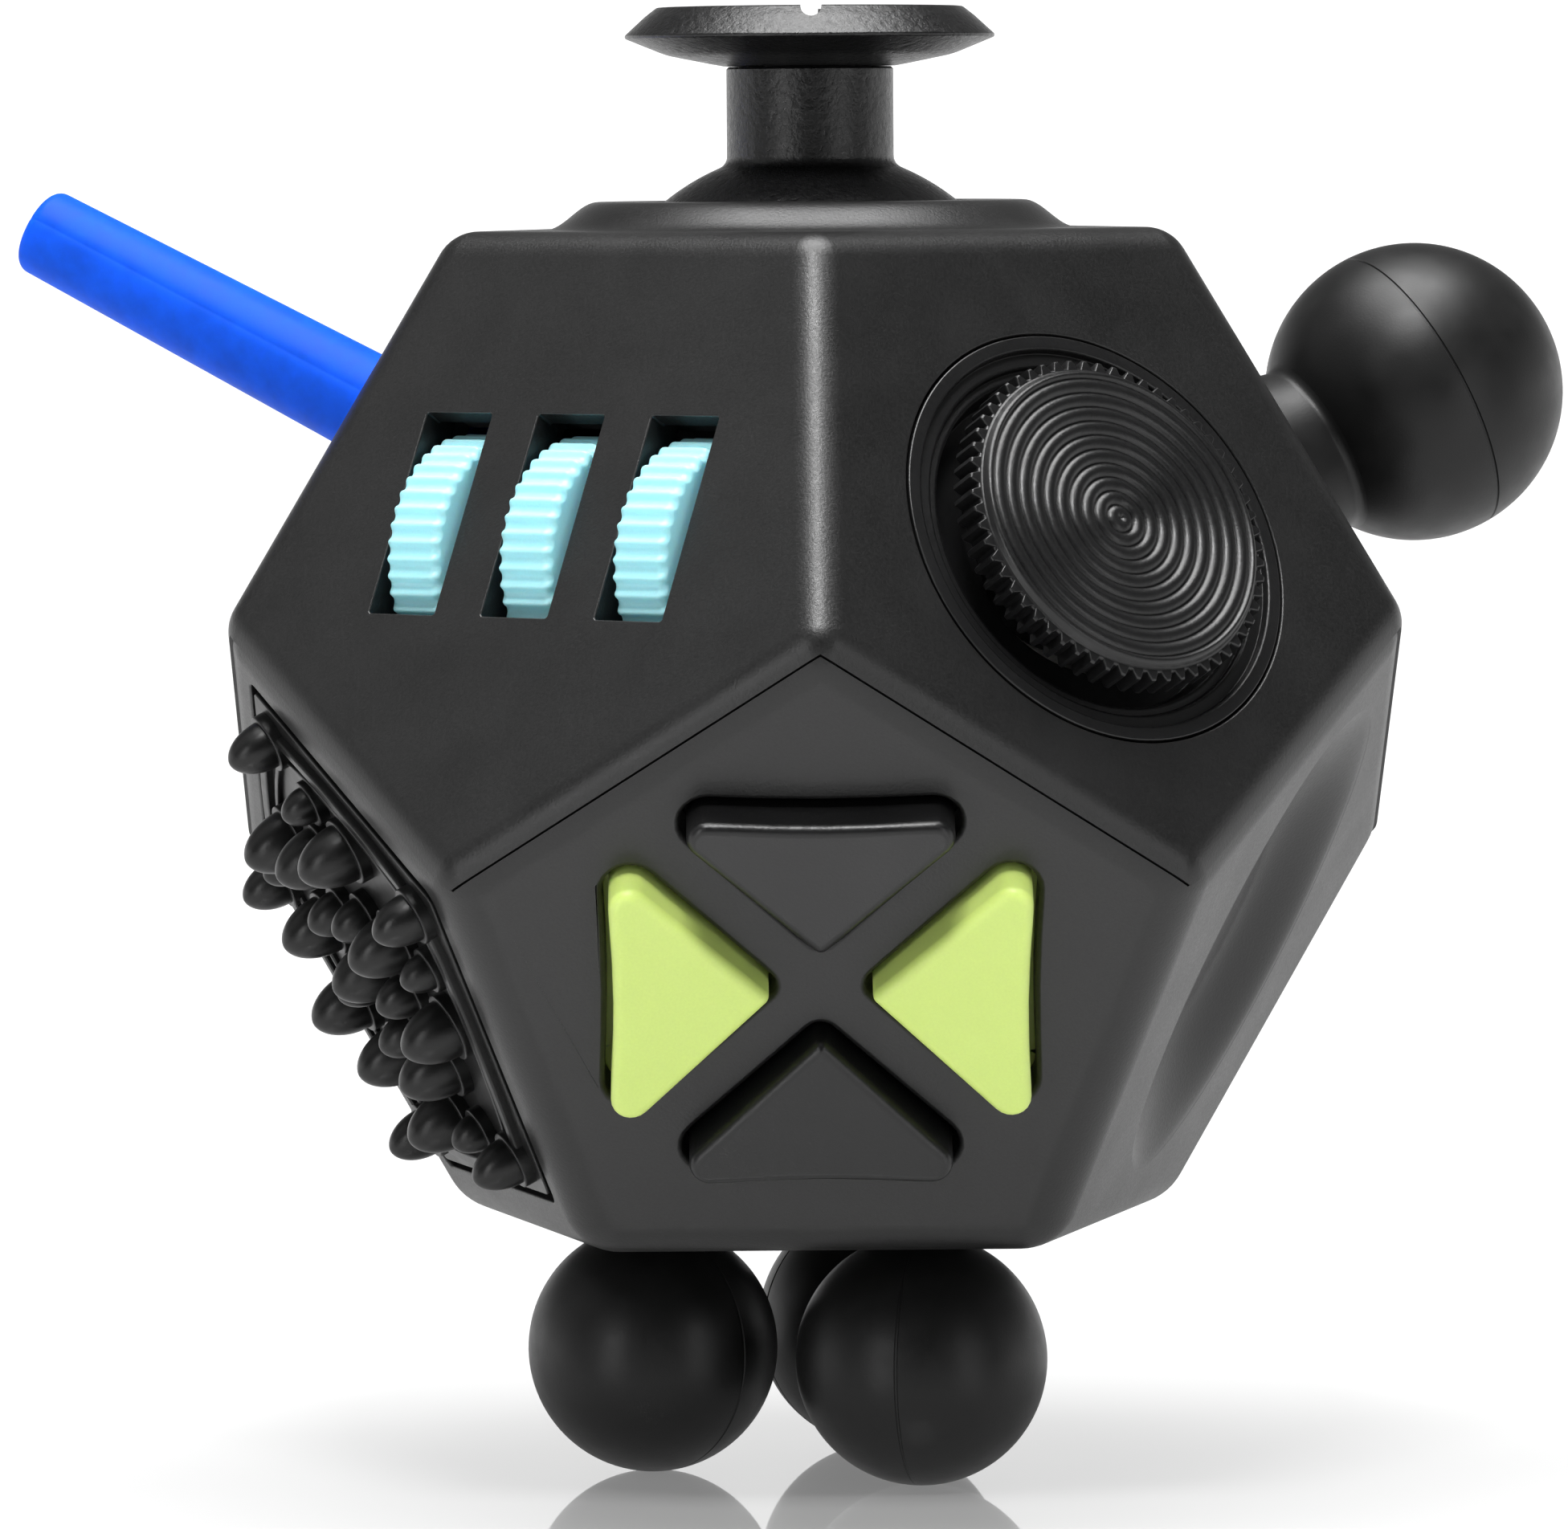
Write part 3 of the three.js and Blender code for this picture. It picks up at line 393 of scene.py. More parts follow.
# ---- materials ----------------------------------------------------------------------------
class Nodes:
    """A small helper that adds and links shader nodes."""

    def __init__(self, name):
        self.material = bpy.data.materials.new(name)
        self.material.use_nodes = True
        self.tree = self.material.node_tree
        self.shader = self.tree.nodes["Principled BSDF"]
        self.place = self.add("ShaderNodeTexCoord").outputs["Object"]

    def add(self, kind, **settings):
        node = self.tree.nodes.new(kind)
        for key, value in settings.items():
            setattr(node, key, value)
        return node

    def link(self, a, b):
        self.tree.links.new(a, b)

    def noise(self, size, detail=2.0, roughness=0.5, place=None):
        """Noise whose features are about size millimetres across."""
        node = self.add("ShaderNodeTexNoise")
        node.inputs["Scale"].default_value = 1 / (size * MM)
        node.inputs["Detail"].default_value = detail
        node.inputs["Roughness"].default_value = roughness
        self.link(place or self.place, node.inputs["Vector"])
        return node.outputs["Fac"]

    def cells(self, size):
        """Rounded cells about size millimetres across."""
        node = self.add("ShaderNodeTexVoronoi", feature="SMOOTH_F1")
        node.inputs["Scale"].default_value = 1 / (size * MM)
        self.link(self.place, node.inputs["Vector"])
        return node.outputs["Distance"]

    def ramp(self, value, low, high, start=0.3, end=0.7):
        """Maps a value onto colours or greys from low to high."""
        node = self.add("ShaderNodeValToRGB")
        for element, at, colour in zip(node.color_ramp.elements, (start, end), (low, high)):
            element.position = at
            element.color = (*colour, 1) if hasattr(colour, "__len__") else (colour,) * 3 + (1,)
        self.link(value, node.inputs["Fac"])
        return node.outputs["Color"]

    def combine(self, operation, a, b):
        """Adds or multiplies two values, each a socket or a number."""
        node = self.add("ShaderNodeMath", operation=operation)
        for value, socket in zip((a, b), node.inputs):
            if hasattr(value, "default_value"):
                self.link(value, socket)
            else:
                socket.default_value = value
        return node.outputs[0]

    def bump(self, height, distance):
        """Relief of about distance millimetres."""
        node = self.add("ShaderNodeBump")
        node.inputs["Distance"].default_value = distance * MM
        node.inputs["Strength"].default_value = 1.0
        self.link(height, node.inputs["Height"])
        return node.outputs["Normal"]

    def output(self, **inputs):
        """Sets the shader's sockets, each to a number, a colour or another node's socket."""
        for key, value in inputs.items():
            socket = self.shader.inputs[key.replace("_", " ")]
            if hasattr(value, "node"):
                self.link(value, socket)
            else:
                socket.default_value = value
        return self.material


def moulded(name, colour, rough, grain, depth, fleck=1.25, specular=0.5, **more):
    """Textured moulded plastic: fine grain in its relief, and slight blotches in its gloss."""
    n = Nodes(name)
    fine = n.noise(grain, 3.0, 0.6)
    blotch = n.noise(grain * 28, 2.0)
    dark = tuple(c / fleck for c in colour)
    light = tuple(min(1.0, c * fleck) for c in colour)
    both = n.combine("ADD", n.combine("MULTIPLY", fine, 0.7), n.combine("MULTIPLY", blotch, 0.3))
    return n.output(
        Base_Color=n.ramp(both, dark, light),
        Roughness=n.ramp(both, max(0.05, rough - 0.06), rough + 0.07),
        Normal=n.bump(fine, depth),
        Specular_IOR_Level=specular, **more)


def leathery(name, colour, rough, size, depth):
    """Plastic with a wrinkled, leather-like mould texture."""
    n = Nodes(name)
    wrinkles = n.noise(size, 4.0, 0.65)
    relief = n.combine("ADD", wrinkles, n.combine("MULTIPLY", n.cells(size * 1.6), 0.5))
    return n.output(
        Base_Color=n.ramp(wrinkles, tuple(c * 0.85 for c in colour), tuple(c * 1.2 for c in colour)),
        Roughness=n.ramp(wrinkles, rough - 0.05, rough + 0.1),
        Normal=n.bump(relief, depth))


def silicone(name, colour, rough, sheen, subsurface=0.0, fleck=1.15, specular=0.4):
    """Matt silicone rubber: a dusty sheen over a very fine grain."""
    n = Nodes(name)
    dust = n.noise(1.6, 4.0, 0.6)
    fine = n.noise(0.09, 2.0)
    more = {}
    if subsurface:
        more = dict(Subsurface_Weight=subsurface, Subsurface_Radius=(0.3, 0.6, 1.0),
                    Subsurface_Scale=0.0008)
    return n.output(
        Base_Color=n.ramp(dust, tuple(c / fleck for c in colour), tuple(min(1, c * fleck) for c in colour)),
        Roughness=n.ramp(dust, rough - 0.04, rough + 0.06),
        Normal=n.bump(fine, 0.004),
        Specular_IOR_Level=specular, Sheen_Weight=sheen, Sheen_Roughness=0.5, **more)


def metal(name, colour, rough, streak=(1, 1, 1)):
    """Steel with fine drawn or ground lines."""
    n = Nodes(name)
    warp = n.add("ShaderNodeMapping")
    warp.inputs["Scale"].default_value = streak
    n.link(n.place, warp.inputs["Vector"])
    lines = n.noise(0.12, 3.0, 0.6, warp.outputs["Vector"])
    return n.output(
        Base_Color=n.ramp(lines, tuple(c * 0.9 for c in colour), colour),
        Roughness=n.ramp(lines, rough * 0.7, rough * 1.5),
        Normal=n.bump(lines, 0.001),
        Metallic=1.0)


SHELL = moulded("shell_abs", (0.007, 0.007, 0.007), 0.38, 0.13, 0.013, fleck=1.6)
BLACK = moulded("black_abs", (0.005, 0.005, 0.0052), 0.34, 0.13, 0.01)
STICK_BLACK = leathery("stick_black", (0.004, 0.004, 0.0042), 0.3, 0.24, 0.04)
INNER = moulded("inner_plastic", (0.045, 0.045, 0.047), 0.5, 0.15, 0.006)
WHITE = moulded("white_acetal", (0.69, 0.69, 0.66), 0.4, 0.15, 0.004, fleck=1.03,
                Subsurface_Weight=0.15, Subsurface_Radius=(1.0, 1.0, 0.9), Subsurface_Scale=0.0006)
AQUA = moulded("aqua_plastic", (0.4, 0.82, 0.9), 0.36, 0.1, 0.002, fleck=1.04,
               Subsurface_Weight=0.35, Subsurface_Radius=(0.35, 0.8, 1.0), Subsurface_Scale=0.0012)
LIME = moulded("lime_plastic", (0.66, 0.83, 0.22), 0.4, 0.11, 0.003, fleck=1.03,
               Subsurface_Weight=0.2, Subsurface_Radius=(0.8, 1.0, 0.3), Subsurface_Scale=0.0008)
RUBBER = silicone("black_silicone", (0.005, 0.005, 0.005), 0.42, 0.01, specular=0.35)
PAD_RUBBER = silicone("pad_silicone", (0.004, 0.004, 0.004), 0.34, 0.01, specular=0.42)
BLUE = silicone("blue_silicone", (0.004, 0.092, 0.74), 0.5, 0.0, subsurface=0.3, specular=0.1)
GREY = silicone("grey_silicone", (0.26, 0.26, 0.26), 0.55, 0.1)
STEEL = metal("bright_steel", (0.72, 0.72, 0.74), 0.16)
POLISHED = metal("polished_steel", (0.8, 0.8, 0.82), 0.05)


# ---- shell --------------------------------------------------------------------------------
def corners_of(scale=1.0):
    """The twenty corners of the dodecahedron."""
    rows = []
    for i in range(5):
        rows += [ring_point(TOP_R, 72 * i, INRADIUS), ring_point(MID_R, 72 * i, MID_Z),
                 ring_point(MID_R, 72 * i + 36, -MID_Z), ring_point(TOP_R, 72 * i + 36, -INRADIUS)]
    return [r * scale for r in rows]


def dodecahedron(fillet=0.0, steps=8, scale=1.0):
    """Every edge and corner is rounded by fillet: flat faces, strips of a cylinder and patches of
    a sphere that meet tangentially."""
    corners = corners_of(scale)
    reach = INRADIUS * scale
    around = [[f for f in range(12) if NORMALS[f] @ c > 0.99 * reach] for c in corners]
    inner = [c * (1 - fillet / reach) for c in corners]

    def on_ball(corner, weights):
        out = sum(NORMALS[f] * w for f, w in weights.items())
        return inner[corner] + out / np.linalg.norm(out) * fillet

    meshes = []
    for f in range(12):
        own = [c for c in range(20) if f in around[c]]
        u = FACE_AXES[f]
        own.sort(key=lambda c: math.atan2(inner[c] @ u[1], inner[c] @ u[0]))
        meshes.append((np.array([on_ball(c, {f: 1}) for c in own]), [tuple(range(5))]))
    if not fillet:
        return welded(joined(*meshes))
    for a in range(20):
        for b in range(a):
            shared = [f for f in around[a] if f in around[b]]
            if len(shared) != 2:
                continue
            f, g = shared
            line = [on_ball(c, {f: steps - s, g: s}) for c in (a, b) for s in range(steps + 1)]
            quads = [(s, s + 1, s + steps + 2, s + steps + 1) for s in range(steps)]
            meshes.append((np.array(line), quads))
        f, g, h = around[a]
        index, points, tris = {}, [], []
        for i in range(steps + 1):
            for j in range(steps + 1 - i):
                index[i, j] = len(points)
                points.append(on_ball(a, {f: i, g: j, h: steps - i - j}))
        for i in range(steps):
            for j in range(steps - i):
                tris.append((index[i, j], index[i + 1, j], index[i, j + 1]))
                if i + j < steps - 1:
                    tris.append((index[i + 1, j], index[i + 1, j + 1], index[i, j + 1]))
        meshes.append((np.array(points), tris))
    return welded(joined(*meshes))


def above_seam(drop):
    """Everything above an umbrella-shaped surface that follows the zigzag of middle edges."""
    rim = []
    for i in range(5):
        rim += [ring_point(MID_R, 72 * i, MID_Z) * 1.6, ring_point(MID_R, 72 * i + 36, -MID_Z) * 1.6]
    verts = np.array([*rim, [0, 0, 0], [0, 0, 90]]) - [0, 0, drop]
    faces = []
    for i in range(10):
        j = (i + 1) % 10
        faces += [(i, 10, j), (i, j, 11)]
    return verts, faces


def lip_levels(lip, steps=5):
    """(outward offset, height) from the straight wall of a hole to the surface and past it."""
    a = np.linspace(0, 90, steps + 1) * DEG
    return [(lip * (1 - math.cos(x)), lip * (math.sin(x) - 0.98)) for x in a]


def hole(outline, depth, lip, top=1.0):
    """A cutter whose hole has a rounded lip. outline(offset) gives the outline moved outwards."""
    levels = [(outline(0.0), -depth)]
    levels += [(outline(o), h) for o, h in lip_levels(lip)]
    levels.append((outline(lip), top))
    return loft(levels)


def round_hole(radius, depth, lip, top=1.0, segments=128):
    profile = [(0, -depth), (radius, -depth)]
    profile += [(radius + o, h) for o, h in lip_levels(lip)]
    profile += [(radius + lip, top), (0, top)]
    return lathe(profile, segments)


def cross_outline(outset):
    """One triangle of the button cross, its apex towards the middle."""
    apex = CROSS["apex"] - outset * math.sqrt(2)
    outer = CROSS["outer"] + outset
    half = outer - apex
    bow = [(half * x, outer - CROSS["hollow"] * (1 - x * x) ** 2) for x in (0.6, 0.3, 0, -0.3, -0.6)]
    return softened([(0, apex, max(0.05, CROSS["apex_r"] + outset)),
                     (half, outer, max(0.05, CROSS["corner_r"] + outset)),
                     *bow,
                     (-half, outer, max(0.05, CROSS["corner_r"] + outset))], 8, closed=True)


def slot_outline(u, width, low, high):
    def outline(outset):
        w = width / 2 + outset
        return softened([(u - w, low - outset, 0.12 + outset), (u + w, low - outset, 0.12 + outset),
                         (u + w, high + outset, 0.12 + outset), (u - w, high + outset, 0.12 + outset)],
                        3, closed=True)
    return outline


ROLLER_U = [ROLLER["u"] + i * ROLLER["pitch"] for i in (-1, 0, 1)]


def eased(t):
    """A smooth step from 0 to 1."""
    return t**2 * (3 - 2 * t)


def dish_tool():
    """The thumb dish: a plain bowl with a crisp lip at -u, and an S-shaped wall at +u."""
    rim, depth = DISH["half_u"], DISH["depth"]
    lip, lip_slope, past_rim, overlap = 0.05, 0.85, 0.3, 0.01

    def bowl(r, h, angles):
        x = np.minimum(r / rim, 1)
        far_side = eased(np.clip(0.5 + 0.75 * np.cos(angles), 0, 1))
        rise = (1 - far_side) * x**3 + far_side * eased(np.clip((x - 0.45) / 0.55, 0, 1))
        wall = -depth * (1 - rise) + lip_slope * np.maximum(r - rim, 0)
        return r, np.where(h > 0, h, (wall - np.sqrt(wall**2 + lip**2)) / 2 + overlap)

    radii = [*np.linspace(0.3, rim - 0.4, 34), *np.linspace(rim - 0.3, rim + past_rim, 16)]
    profile = [(0, -depth + overlap), *((r, 0) for r in radii), (rim + past_rim, 1), (0, 1)]
    verts, faces = lathe(profile, 160, bowl)
    verts[:, 1] *= DISH["half_v"] / DISH["half_u"]
    return moved((verts, faces), shift(DISH["u"], DISH["v"]))


def add_boss(shell):
    """The raised ring of the top face, which rises from it in an S."""
    base, top, start = STICK["boss_base_r"] + 0.3, STICK["boss_top_r"], INRADIUS - 0.01
    slope = [(base + (top - base) * t, start + (STICK["boss"] - start) * (1 - math.cos(math.pi * t)) / 2)
             for t in np.linspace(0, 1, 17)]
    inside = INRADIUS - 1.67
    join(shell, (lathe([(0, inside), (base, inside), *slope, (0, STICK["boss"])], 160), BODY))


def add_dish_back(shell):
    """Thickens the wall behind the thumb dish."""
    verts, faces = lathe([(0, -2.8), (6.2, -2.8), (6.6, -1.9), (0, -1.9)], 64)
    verts[:, 1] *= DISH["half_v"] / DISH["half_u"]
    join(shell, (moved((verts, faces), shift(DISH["u"], DISH["v"], 0.2)), FACE["dish"]))


def full_ball(radius, centre_z, steps):
    """The profile of a whole ball, with its two ends on the axis."""
    ball = arc(radius, centre_z, 180, 0, steps)
    ball[0], ball[-1] = (0, centre_z - radius), (0, centre_z + radius)
    return ball


def cut_stick_opening(shell):
    opening, pivot, boss, lip = STICK["opening"], STICK["pivot"], STICK["boss"], 0.25
    mouth = math.sqrt(opening**2 - (boss - pivot) ** 2) - 0.06
    funnel = [(0, boss - 1.0), (mouth - 0.34, boss - 1.0),
              *[(mouth + o, boss + h) for o, h in lip_levels(lip)],
              (mouth + lip, boss + 1), (0, boss + 1)]
    cut(shell, (lathe(full_ball(opening, pivot, 48), 128), BODY), (lathe(funnel, 160), BODY))


def cut_ball_pocket(shell):
    depth, radius = BEARING_BALL["depth"], BEARING_BALL["radius"] + BEARING_BALL["clearance"]
    mouth = math.sqrt(radius**2 - depth**2)
    cut(shell, (lathe(full_ball(radius, -depth, 40), 128), FACE["bearing_ball"]),
        (round_hole(mouth - 0.03, 0.8, 0.3), FACE["bearing_ball"]))


def build_shell(fillet):
    shell = to_object("shell", dodecahedron(fillet, 9))
    boolean(shell, to_object("hollow", dodecahedron(scale=1 - WALL / INRADIUS)))
    add_boss(shell)
    add_dish_back(shell)
    cut_stick_opening(shell)
    for u in ROLLER_U:
        outline = slot_outline(u, SLOT["width"], SLOT["low"], SLOT["high"])
        width = (u - SLOT["width"] / 2 + 0.001, u + SLOT["width"] / 2 - 0.001)
        relief = box(width, (-SLOT["relief"], SLOT["relief"]), (-3, -SLOT["relief_depth"]))
        cut(shell, (hole(outline, 3, 0.09), FACE["rollers"]), (relief, FACE["rollers"]))
    glide = FACE["glide"] @ shift(GLIDE["u"], GLIDE["v"])
    cut(shell, (round_hole(GLIDE["bezel"], 3, 0.1, segments=192), glide))
    for quarter in range(4):
        cut(shell, (hole(cross_outline, 3.4, 0.32), FACE["buttons"] @ turn(90 * quarter)))
    pad_hole = hole(lambda o: pentagon(PAD["apothem"] + o, PAD["corner"] + o), PAD["depth"], 0.14)
    cut(shell, (pad_hole, FACE["massage"]), (round_hole(5.3, 4, 0.05), FACE["massage"] @ shift(z=-1.1)))
    cut(shell, (dish_tool(), FACE["dish"]))
    cut(shell, (round_hole(3.0, 4, 0.4), FACE["side_ball"]))
    cut(shell, (round_hole(2.55, 4, 0.45), FACE["rod"] @ shift(y=ROD["v"])))
    for azimuth in FOOT["azimuths"]:
        spot = ring_point(FOOT["ring"], azimuth, -INRADIUS)
        cut(shell, (round_hole(FOOT["neck"] + GAP, 3, 0.2), shift(*spot) @ turn(180, "X")))
    toggle_hole = slot_outline(0, 2 * (TOGGLE["half_u"] + GAP), -5.4, 5.4)
    cut(shell, (hole(toggle_hole, 3, 0.2), FACE["toggle"]))
    cut_ball_pocket(shell)
    cut(shell, (round_hole(DIAL["hub"] + GAP, 3, 0.2), FACE["dial"]))
    return shell


# the shell is parted at the seam, and the gap between its halves reads as a dark line
upper_half = boolean(build_shell(FILLET["upper"]), to_object("tool", above_seam(SEAM_DROP)), "INTERSECT")
lower_half = boolean(build_shell(FILLET["lower"]), to_object("tool", above_seam(SEAM_DROP + SEAM_GAP)))
upper_half.name, lower_half.name = "shell_upper_half", "shell_lower_half"
FLATS = [(n, INRADIUS) for n in NORMALS] + [(NORMALS[0], STICK["boss"])]
finished(upper_half, "root", SHELL, "shell", "upper_shell", planes=FLATS)
finished(lower_half, "root", SHELL, "shell", "lower_shell", planes=FLATS)


# ---- joystick -----------------------------------------------------------------------------
def joystick_stem():
    pivot, dome, neck, top = STICK["pivot"], STICK["dome"], STICK["neck"], STICK["neck_top"]
    neck_angle = math.asin(neck / dome) / DEG
    inner = dome - 1.2
    outer = arc(dome, pivot, STICK["dome_angle"], neck_angle + 3.2, 24)
    start = outer[-1]
    foot_z = pivot + dome * math.cos(neck_angle * DEG)
    fillet = softened([start, (neck, foot_z + 0.02, 0.55), (neck, foot_z + 1)], 6)[1:]
    profile = [
        (0, pivot - 2.8), (1.2, pivot - 2.8), (2, pivot - 2),
        *arc(inner, pivot, math.asin(2 / inner) / DEG, STICK["dome_angle"], 12),
        *outer[:-1], *fillet,
        (neck, top - 0.04), (neck - 0.1, top + 0.07), (2, top + 0.07), (2, top + 1.3), (0, top + 1.3),
    ]
    return lathe(profile, 128)


def joystick_cap():
    neck, seat = STICK["neck"], STICK["neck_top"] + 0.1
    rim, rim_z, crown, crown_z = STICK["rim"], STICK["rim_z"], STICK["crown"], STICK["crown_z"]
    profile = softened([
        (0, seat + 1.5), (2.2, seat + 1.5), (2.2, seat), (neck + 0.12, seat, 0.1),
        (4.4, seat + 0.1, 2.0), (6.4, seat + 0.5, 4.0), (rim, rim_z, 0.12), (7.35, crown_z - 0.42, 2.5),
        (crown + 0.05, crown_z, 0.3), (crown - 0.75, crown_z - 0.1, 0.35), (crown - 1.6, crown_z - 0.55, 1.5),
        (3, crown_z - 0.68, 4), (0, crown_z - 0.7),
    ], 8)
    cap = to_object("cap", lathe(profile, 192))
    for quarter in range(4):
        half, bottom = 0.46, crown_z - 0.5
        arch = [(half * math.cos(a * DEG), bottom + half * 0.9 * (1 + math.sin(a * DEG)))
                for a in range(180, 361, 15)]
        outline = np.array([(half, crown_z + 1), (-half, crown_z + 1), *arch])
        tool = loft([(outline, 5.0), (outline, 9.0)])
        # the outline is drawn across the notch and upwards, and is pushed out through the rim
        stand = np.array([[1, 0, 0, 0], [0, 0, -1, 0], [0, 1, 0, 0], [0, 0, 0, 1]], float)
        cut(cap, (tool, turn(90 * quarter) @ stand))
    return cap


finished(to_object("joystick_neck_and_dome", joystick_stem()), "joystick", STICK_BLACK,
         "black_plastic", "joystick_stem")
cap = joystick_cap()
cap.name = "joystick_thumb_cap"
finished(cap, "joystick", STICK_BLACK, "black_plastic", "joystick_cap")


# ---- rollers ------------------------------------------------------------------------------
def roller_wheel():
    """A coin with a scalloped rim, drawn round the n axis."""
    radius, half, count = ROLLER["radius"], ROLLER["width"] / 2, ROLLER["scallops"]

    def scallop(r, h, angle):
        near_rim = np.clip((r - (radius - 0.9)) / 0.7, 0, 1)
        crest = (0.5 + 0.5 * np.cos(angle * count)) ** 1.7
        return r - ROLLER["scallop"] * near_rim * (1 - crest), h

    profile = softened([
        (1.1, -half), (1.9, -half, 0.1), (2.0, -half + 0.2, 0.1), (radius, -half + 0.1, 0.4),
        (radius, half - 0.1, 0.4), (2.0, half - 0.2, 0.1), (1.9, half, 0.1), (1.1, half),
    ], 5)
    return lathe(profile, count * 10, scallop)


for i, side in enumerate(("left", "middle", "right")):
    place = FACE["rollers"] @ shift(ROLLER_U[i], 0, -ROLLER["depth"]) @ turn(90, "Y") @ turn(3 * i)
    finished(to_object(f"thumb_roller_{side}", roller_wheel(), place), f"roller_{side}", AQUA,
             "aqua_plastic", f"roller_wheel_{side}", angle=50)


# ---- glide disc ---------------------------------------------------------------------------
def glide_bezel():
    outer = GLIDE["bezel"] - 0.1
    return lathe(softened([
        (outer, -2.3), (outer, 0.02, 0.08), (8.95, 0.02, 0.16), (8.9, -0.34, 0.06), (8.3, -0.3, 0.16),
        (8.22, -0.62, 0.06), (7.8, -0.56, 0.18), (7.5, -1.9, 0.1), (5.7, -1.9), (5.7, -3.1),
        (10.9, -3.1), (10.9, -2.3),
    ], 5), 192)


def glide_disc():
    disc, ridged, top, teeth = GLIDE["disc"], GLIDE["ridged"], GLIDE["top"], GLIDE["teeth"]
    hub = GLIDE["hub"]
    pitch = ridged / GLIDE["ridges"]
    radii = np.linspace(0, ridged, int(GLIDE["ridges"] * 12) + 1)[::-1]
    waves = [(r, top - 0.22 * (1 - (r / ridged) ** 2) - 0.17
              + 0.17 * abs(math.sin(math.pi * r / pitch)) ** 0.7 * min(1, (ridged - r) / 0.2 + 0.3))
             for r in radii]

    def tooth(r, h, angle):
        wave = np.cos(angle * teeth)
        square = np.clip(wave * 1.8, -1, 1) * 0.5 + 0.5
        near_rim = np.clip((r - (disc - 0.5)) / 0.3, 0, 1)
        return r - 0.38 * near_rim * (1 - square), h

    profile = [*softened([
        (0, -5.0), (2.0, -5.0), (2.0, -4.0), (hub, -4.0), (hub, 0.35), (disc, 0.35, 0.1),
        (disc, top - 0.42, 0.14), (disc - 0.5, top - 0.42, 0.1), (ridged + 0.12, top - 0.38, 0.05),
        (ridged + 0.04, top - 0.2), (ridged, top - 0.17),
    ], 4)[:-1], *waves]
    return lathe(profile, teeth * 8, tooth)


glide_place = FACE["glide"] @ shift(GLIDE["u"], GLIDE["v"])
finished(to_object("glide_recess_ring", glide_bezel(), glide_place), "root", BLACK, "black_plastic",
         "glide_bezel")
finished(to_object("glide_ridged_disc", glide_disc(), glide_place), "glide", BLACK, "black_plastic",
         "glide_disc", angle=40)


# ---- buttons ------------------------------------------------------------------------------
def button_key():
    edge = 0.5

    def level(inset, height, slanted=1.0):
        outline = cross_outline(-inset)
        return outline, height + slanted * (CROSS["rise"] + CROSS["slope"] * outline[:, 1])

    flange = cross_outline(0.4)
    flange *= np.minimum(1, 11.1 / np.linalg.norm(flange, axis=1))[:, None]
    levels = [(flange, -3.2), (flange, -2.35), (cross_outline(-GAP), -2.3)]
    levels += [level(GAP + edge * (1 - math.cos(a * DEG)), edge * (math.sin(a * DEG) - 1))
               for a in np.linspace(0, 90, 9)]
    return loft(levels)


for quarter, (side, material, slot) in enumerate((
        ("top", BLACK, "black_plastic"), ("left", LIME, "lime_plastic"),
        ("bottom", BLACK, "black_plastic"), ("right", LIME, "lime_plastic"))):
    finished(to_object(f"push_button_{side}", button_key(), FACE["buttons"] @ turn(90 * quarter)),
             f"{side}_button", material, slot, f"button_{side}", angle=40)


# ---- massage pad --------------------------------------------------------------------------
def bump(radius, height):
    """A bullet-shaped bump that stands on a wider collar."""
    collar = 0.55
    tip = [(radius * math.cos(t * DEG) ** 1.08, collar + (height - collar) * math.sin(t * DEG))
           for t in np.linspace(0, 90, 17)]
    tip[-1] = (0, height)
    wide = radius + 0.24
    return lathe([(0, -0.5), *softened([(wide, -0.5), (wide, collar, 0.09), (radius - 0.02, collar)], 3),
                  *tip], 44)


def rib(middle, corner, width, low, high):
    """A ridge that bows out along each side of the pentagon, from corner to corner."""
    def bow(r, h, angle):
        off_middle = ((angle / DEG - 54 + 36) % 72 - 36) / 36
        return r + (corner - middle) * off_middle**2, h

    outer, inner, corner_r = middle + width / 2, middle - width / 2, 0.12
    profile = softened([(outer, low), (outer, high, corner_r), (inner, high, corner_r), (inner, low)], 4)
    return lathe(profile, 240, bow)


def massage_pad():
    edge = 0.08

    def outline(inset):
        return pentagon(PAD["apothem"] - 0.4 - inset, max(0.1, PAD["corner"] - 0.3 - inset))

    levels = [(outline(0), GAP - PAD["depth"])]
    levels += [(outline(edge * (1 - math.cos(a * DEG))), PAD["top"] - edge + edge * math.sin(a * DEG))
               for a in np.linspace(0, 90, 6)]
    pad = to_object("pad", loft(levels), FACE["massage"])
    plug = lathe([(0, -3.6), (4.6, -3.6), (5.9, -3.0), (5.9, -2.35), (5.0, -2.35),
                  (5.0, -0.8), (0, -0.8)], 64)
    join(pad, (plug, FACE["massage"]), (rib(10.1, 11.75, 0.6, -0.4, 0.42), FACE["massage"]),
         (rib(9.2, 10.4, 0.35, -0.4, 0.3), FACE["massage"]))
    for count, out, start, radius, height in BUMP_RINGS:
        for i in range(count):
            a = (start + 360 / count * i) * DEG
            place = shift(out * math.cos(a), out * math.sin(a), PAD["top"])
            join(pad, (bump(radius, height), FACE["massage"] @ place))
    return pad


pad = massage_pad()
pad.name = "massage_bump_pad"
finished(pad, "root", PAD_RUBBER, "black_silicone", "massage_pad", angle=40,
         planes=[(FACE["massage"][:3, 2], INRADIUS + PAD["top"])])


# ---- soft ball, soft rod and ball feet ------------------------------------------------------
def parted_angles(segments):
    """Angles round an axis, with extra ones at the two sides of a moulding line."""
    full = 2 * math.pi
    extra = [k * math.pi + s for k in (0, 1) for s in (-0.016, -0.008, 0.008, 0.016)]
    return np.array(sorted({*(np.arange(segments) * full / segments), *(e % full for e in extra)}))


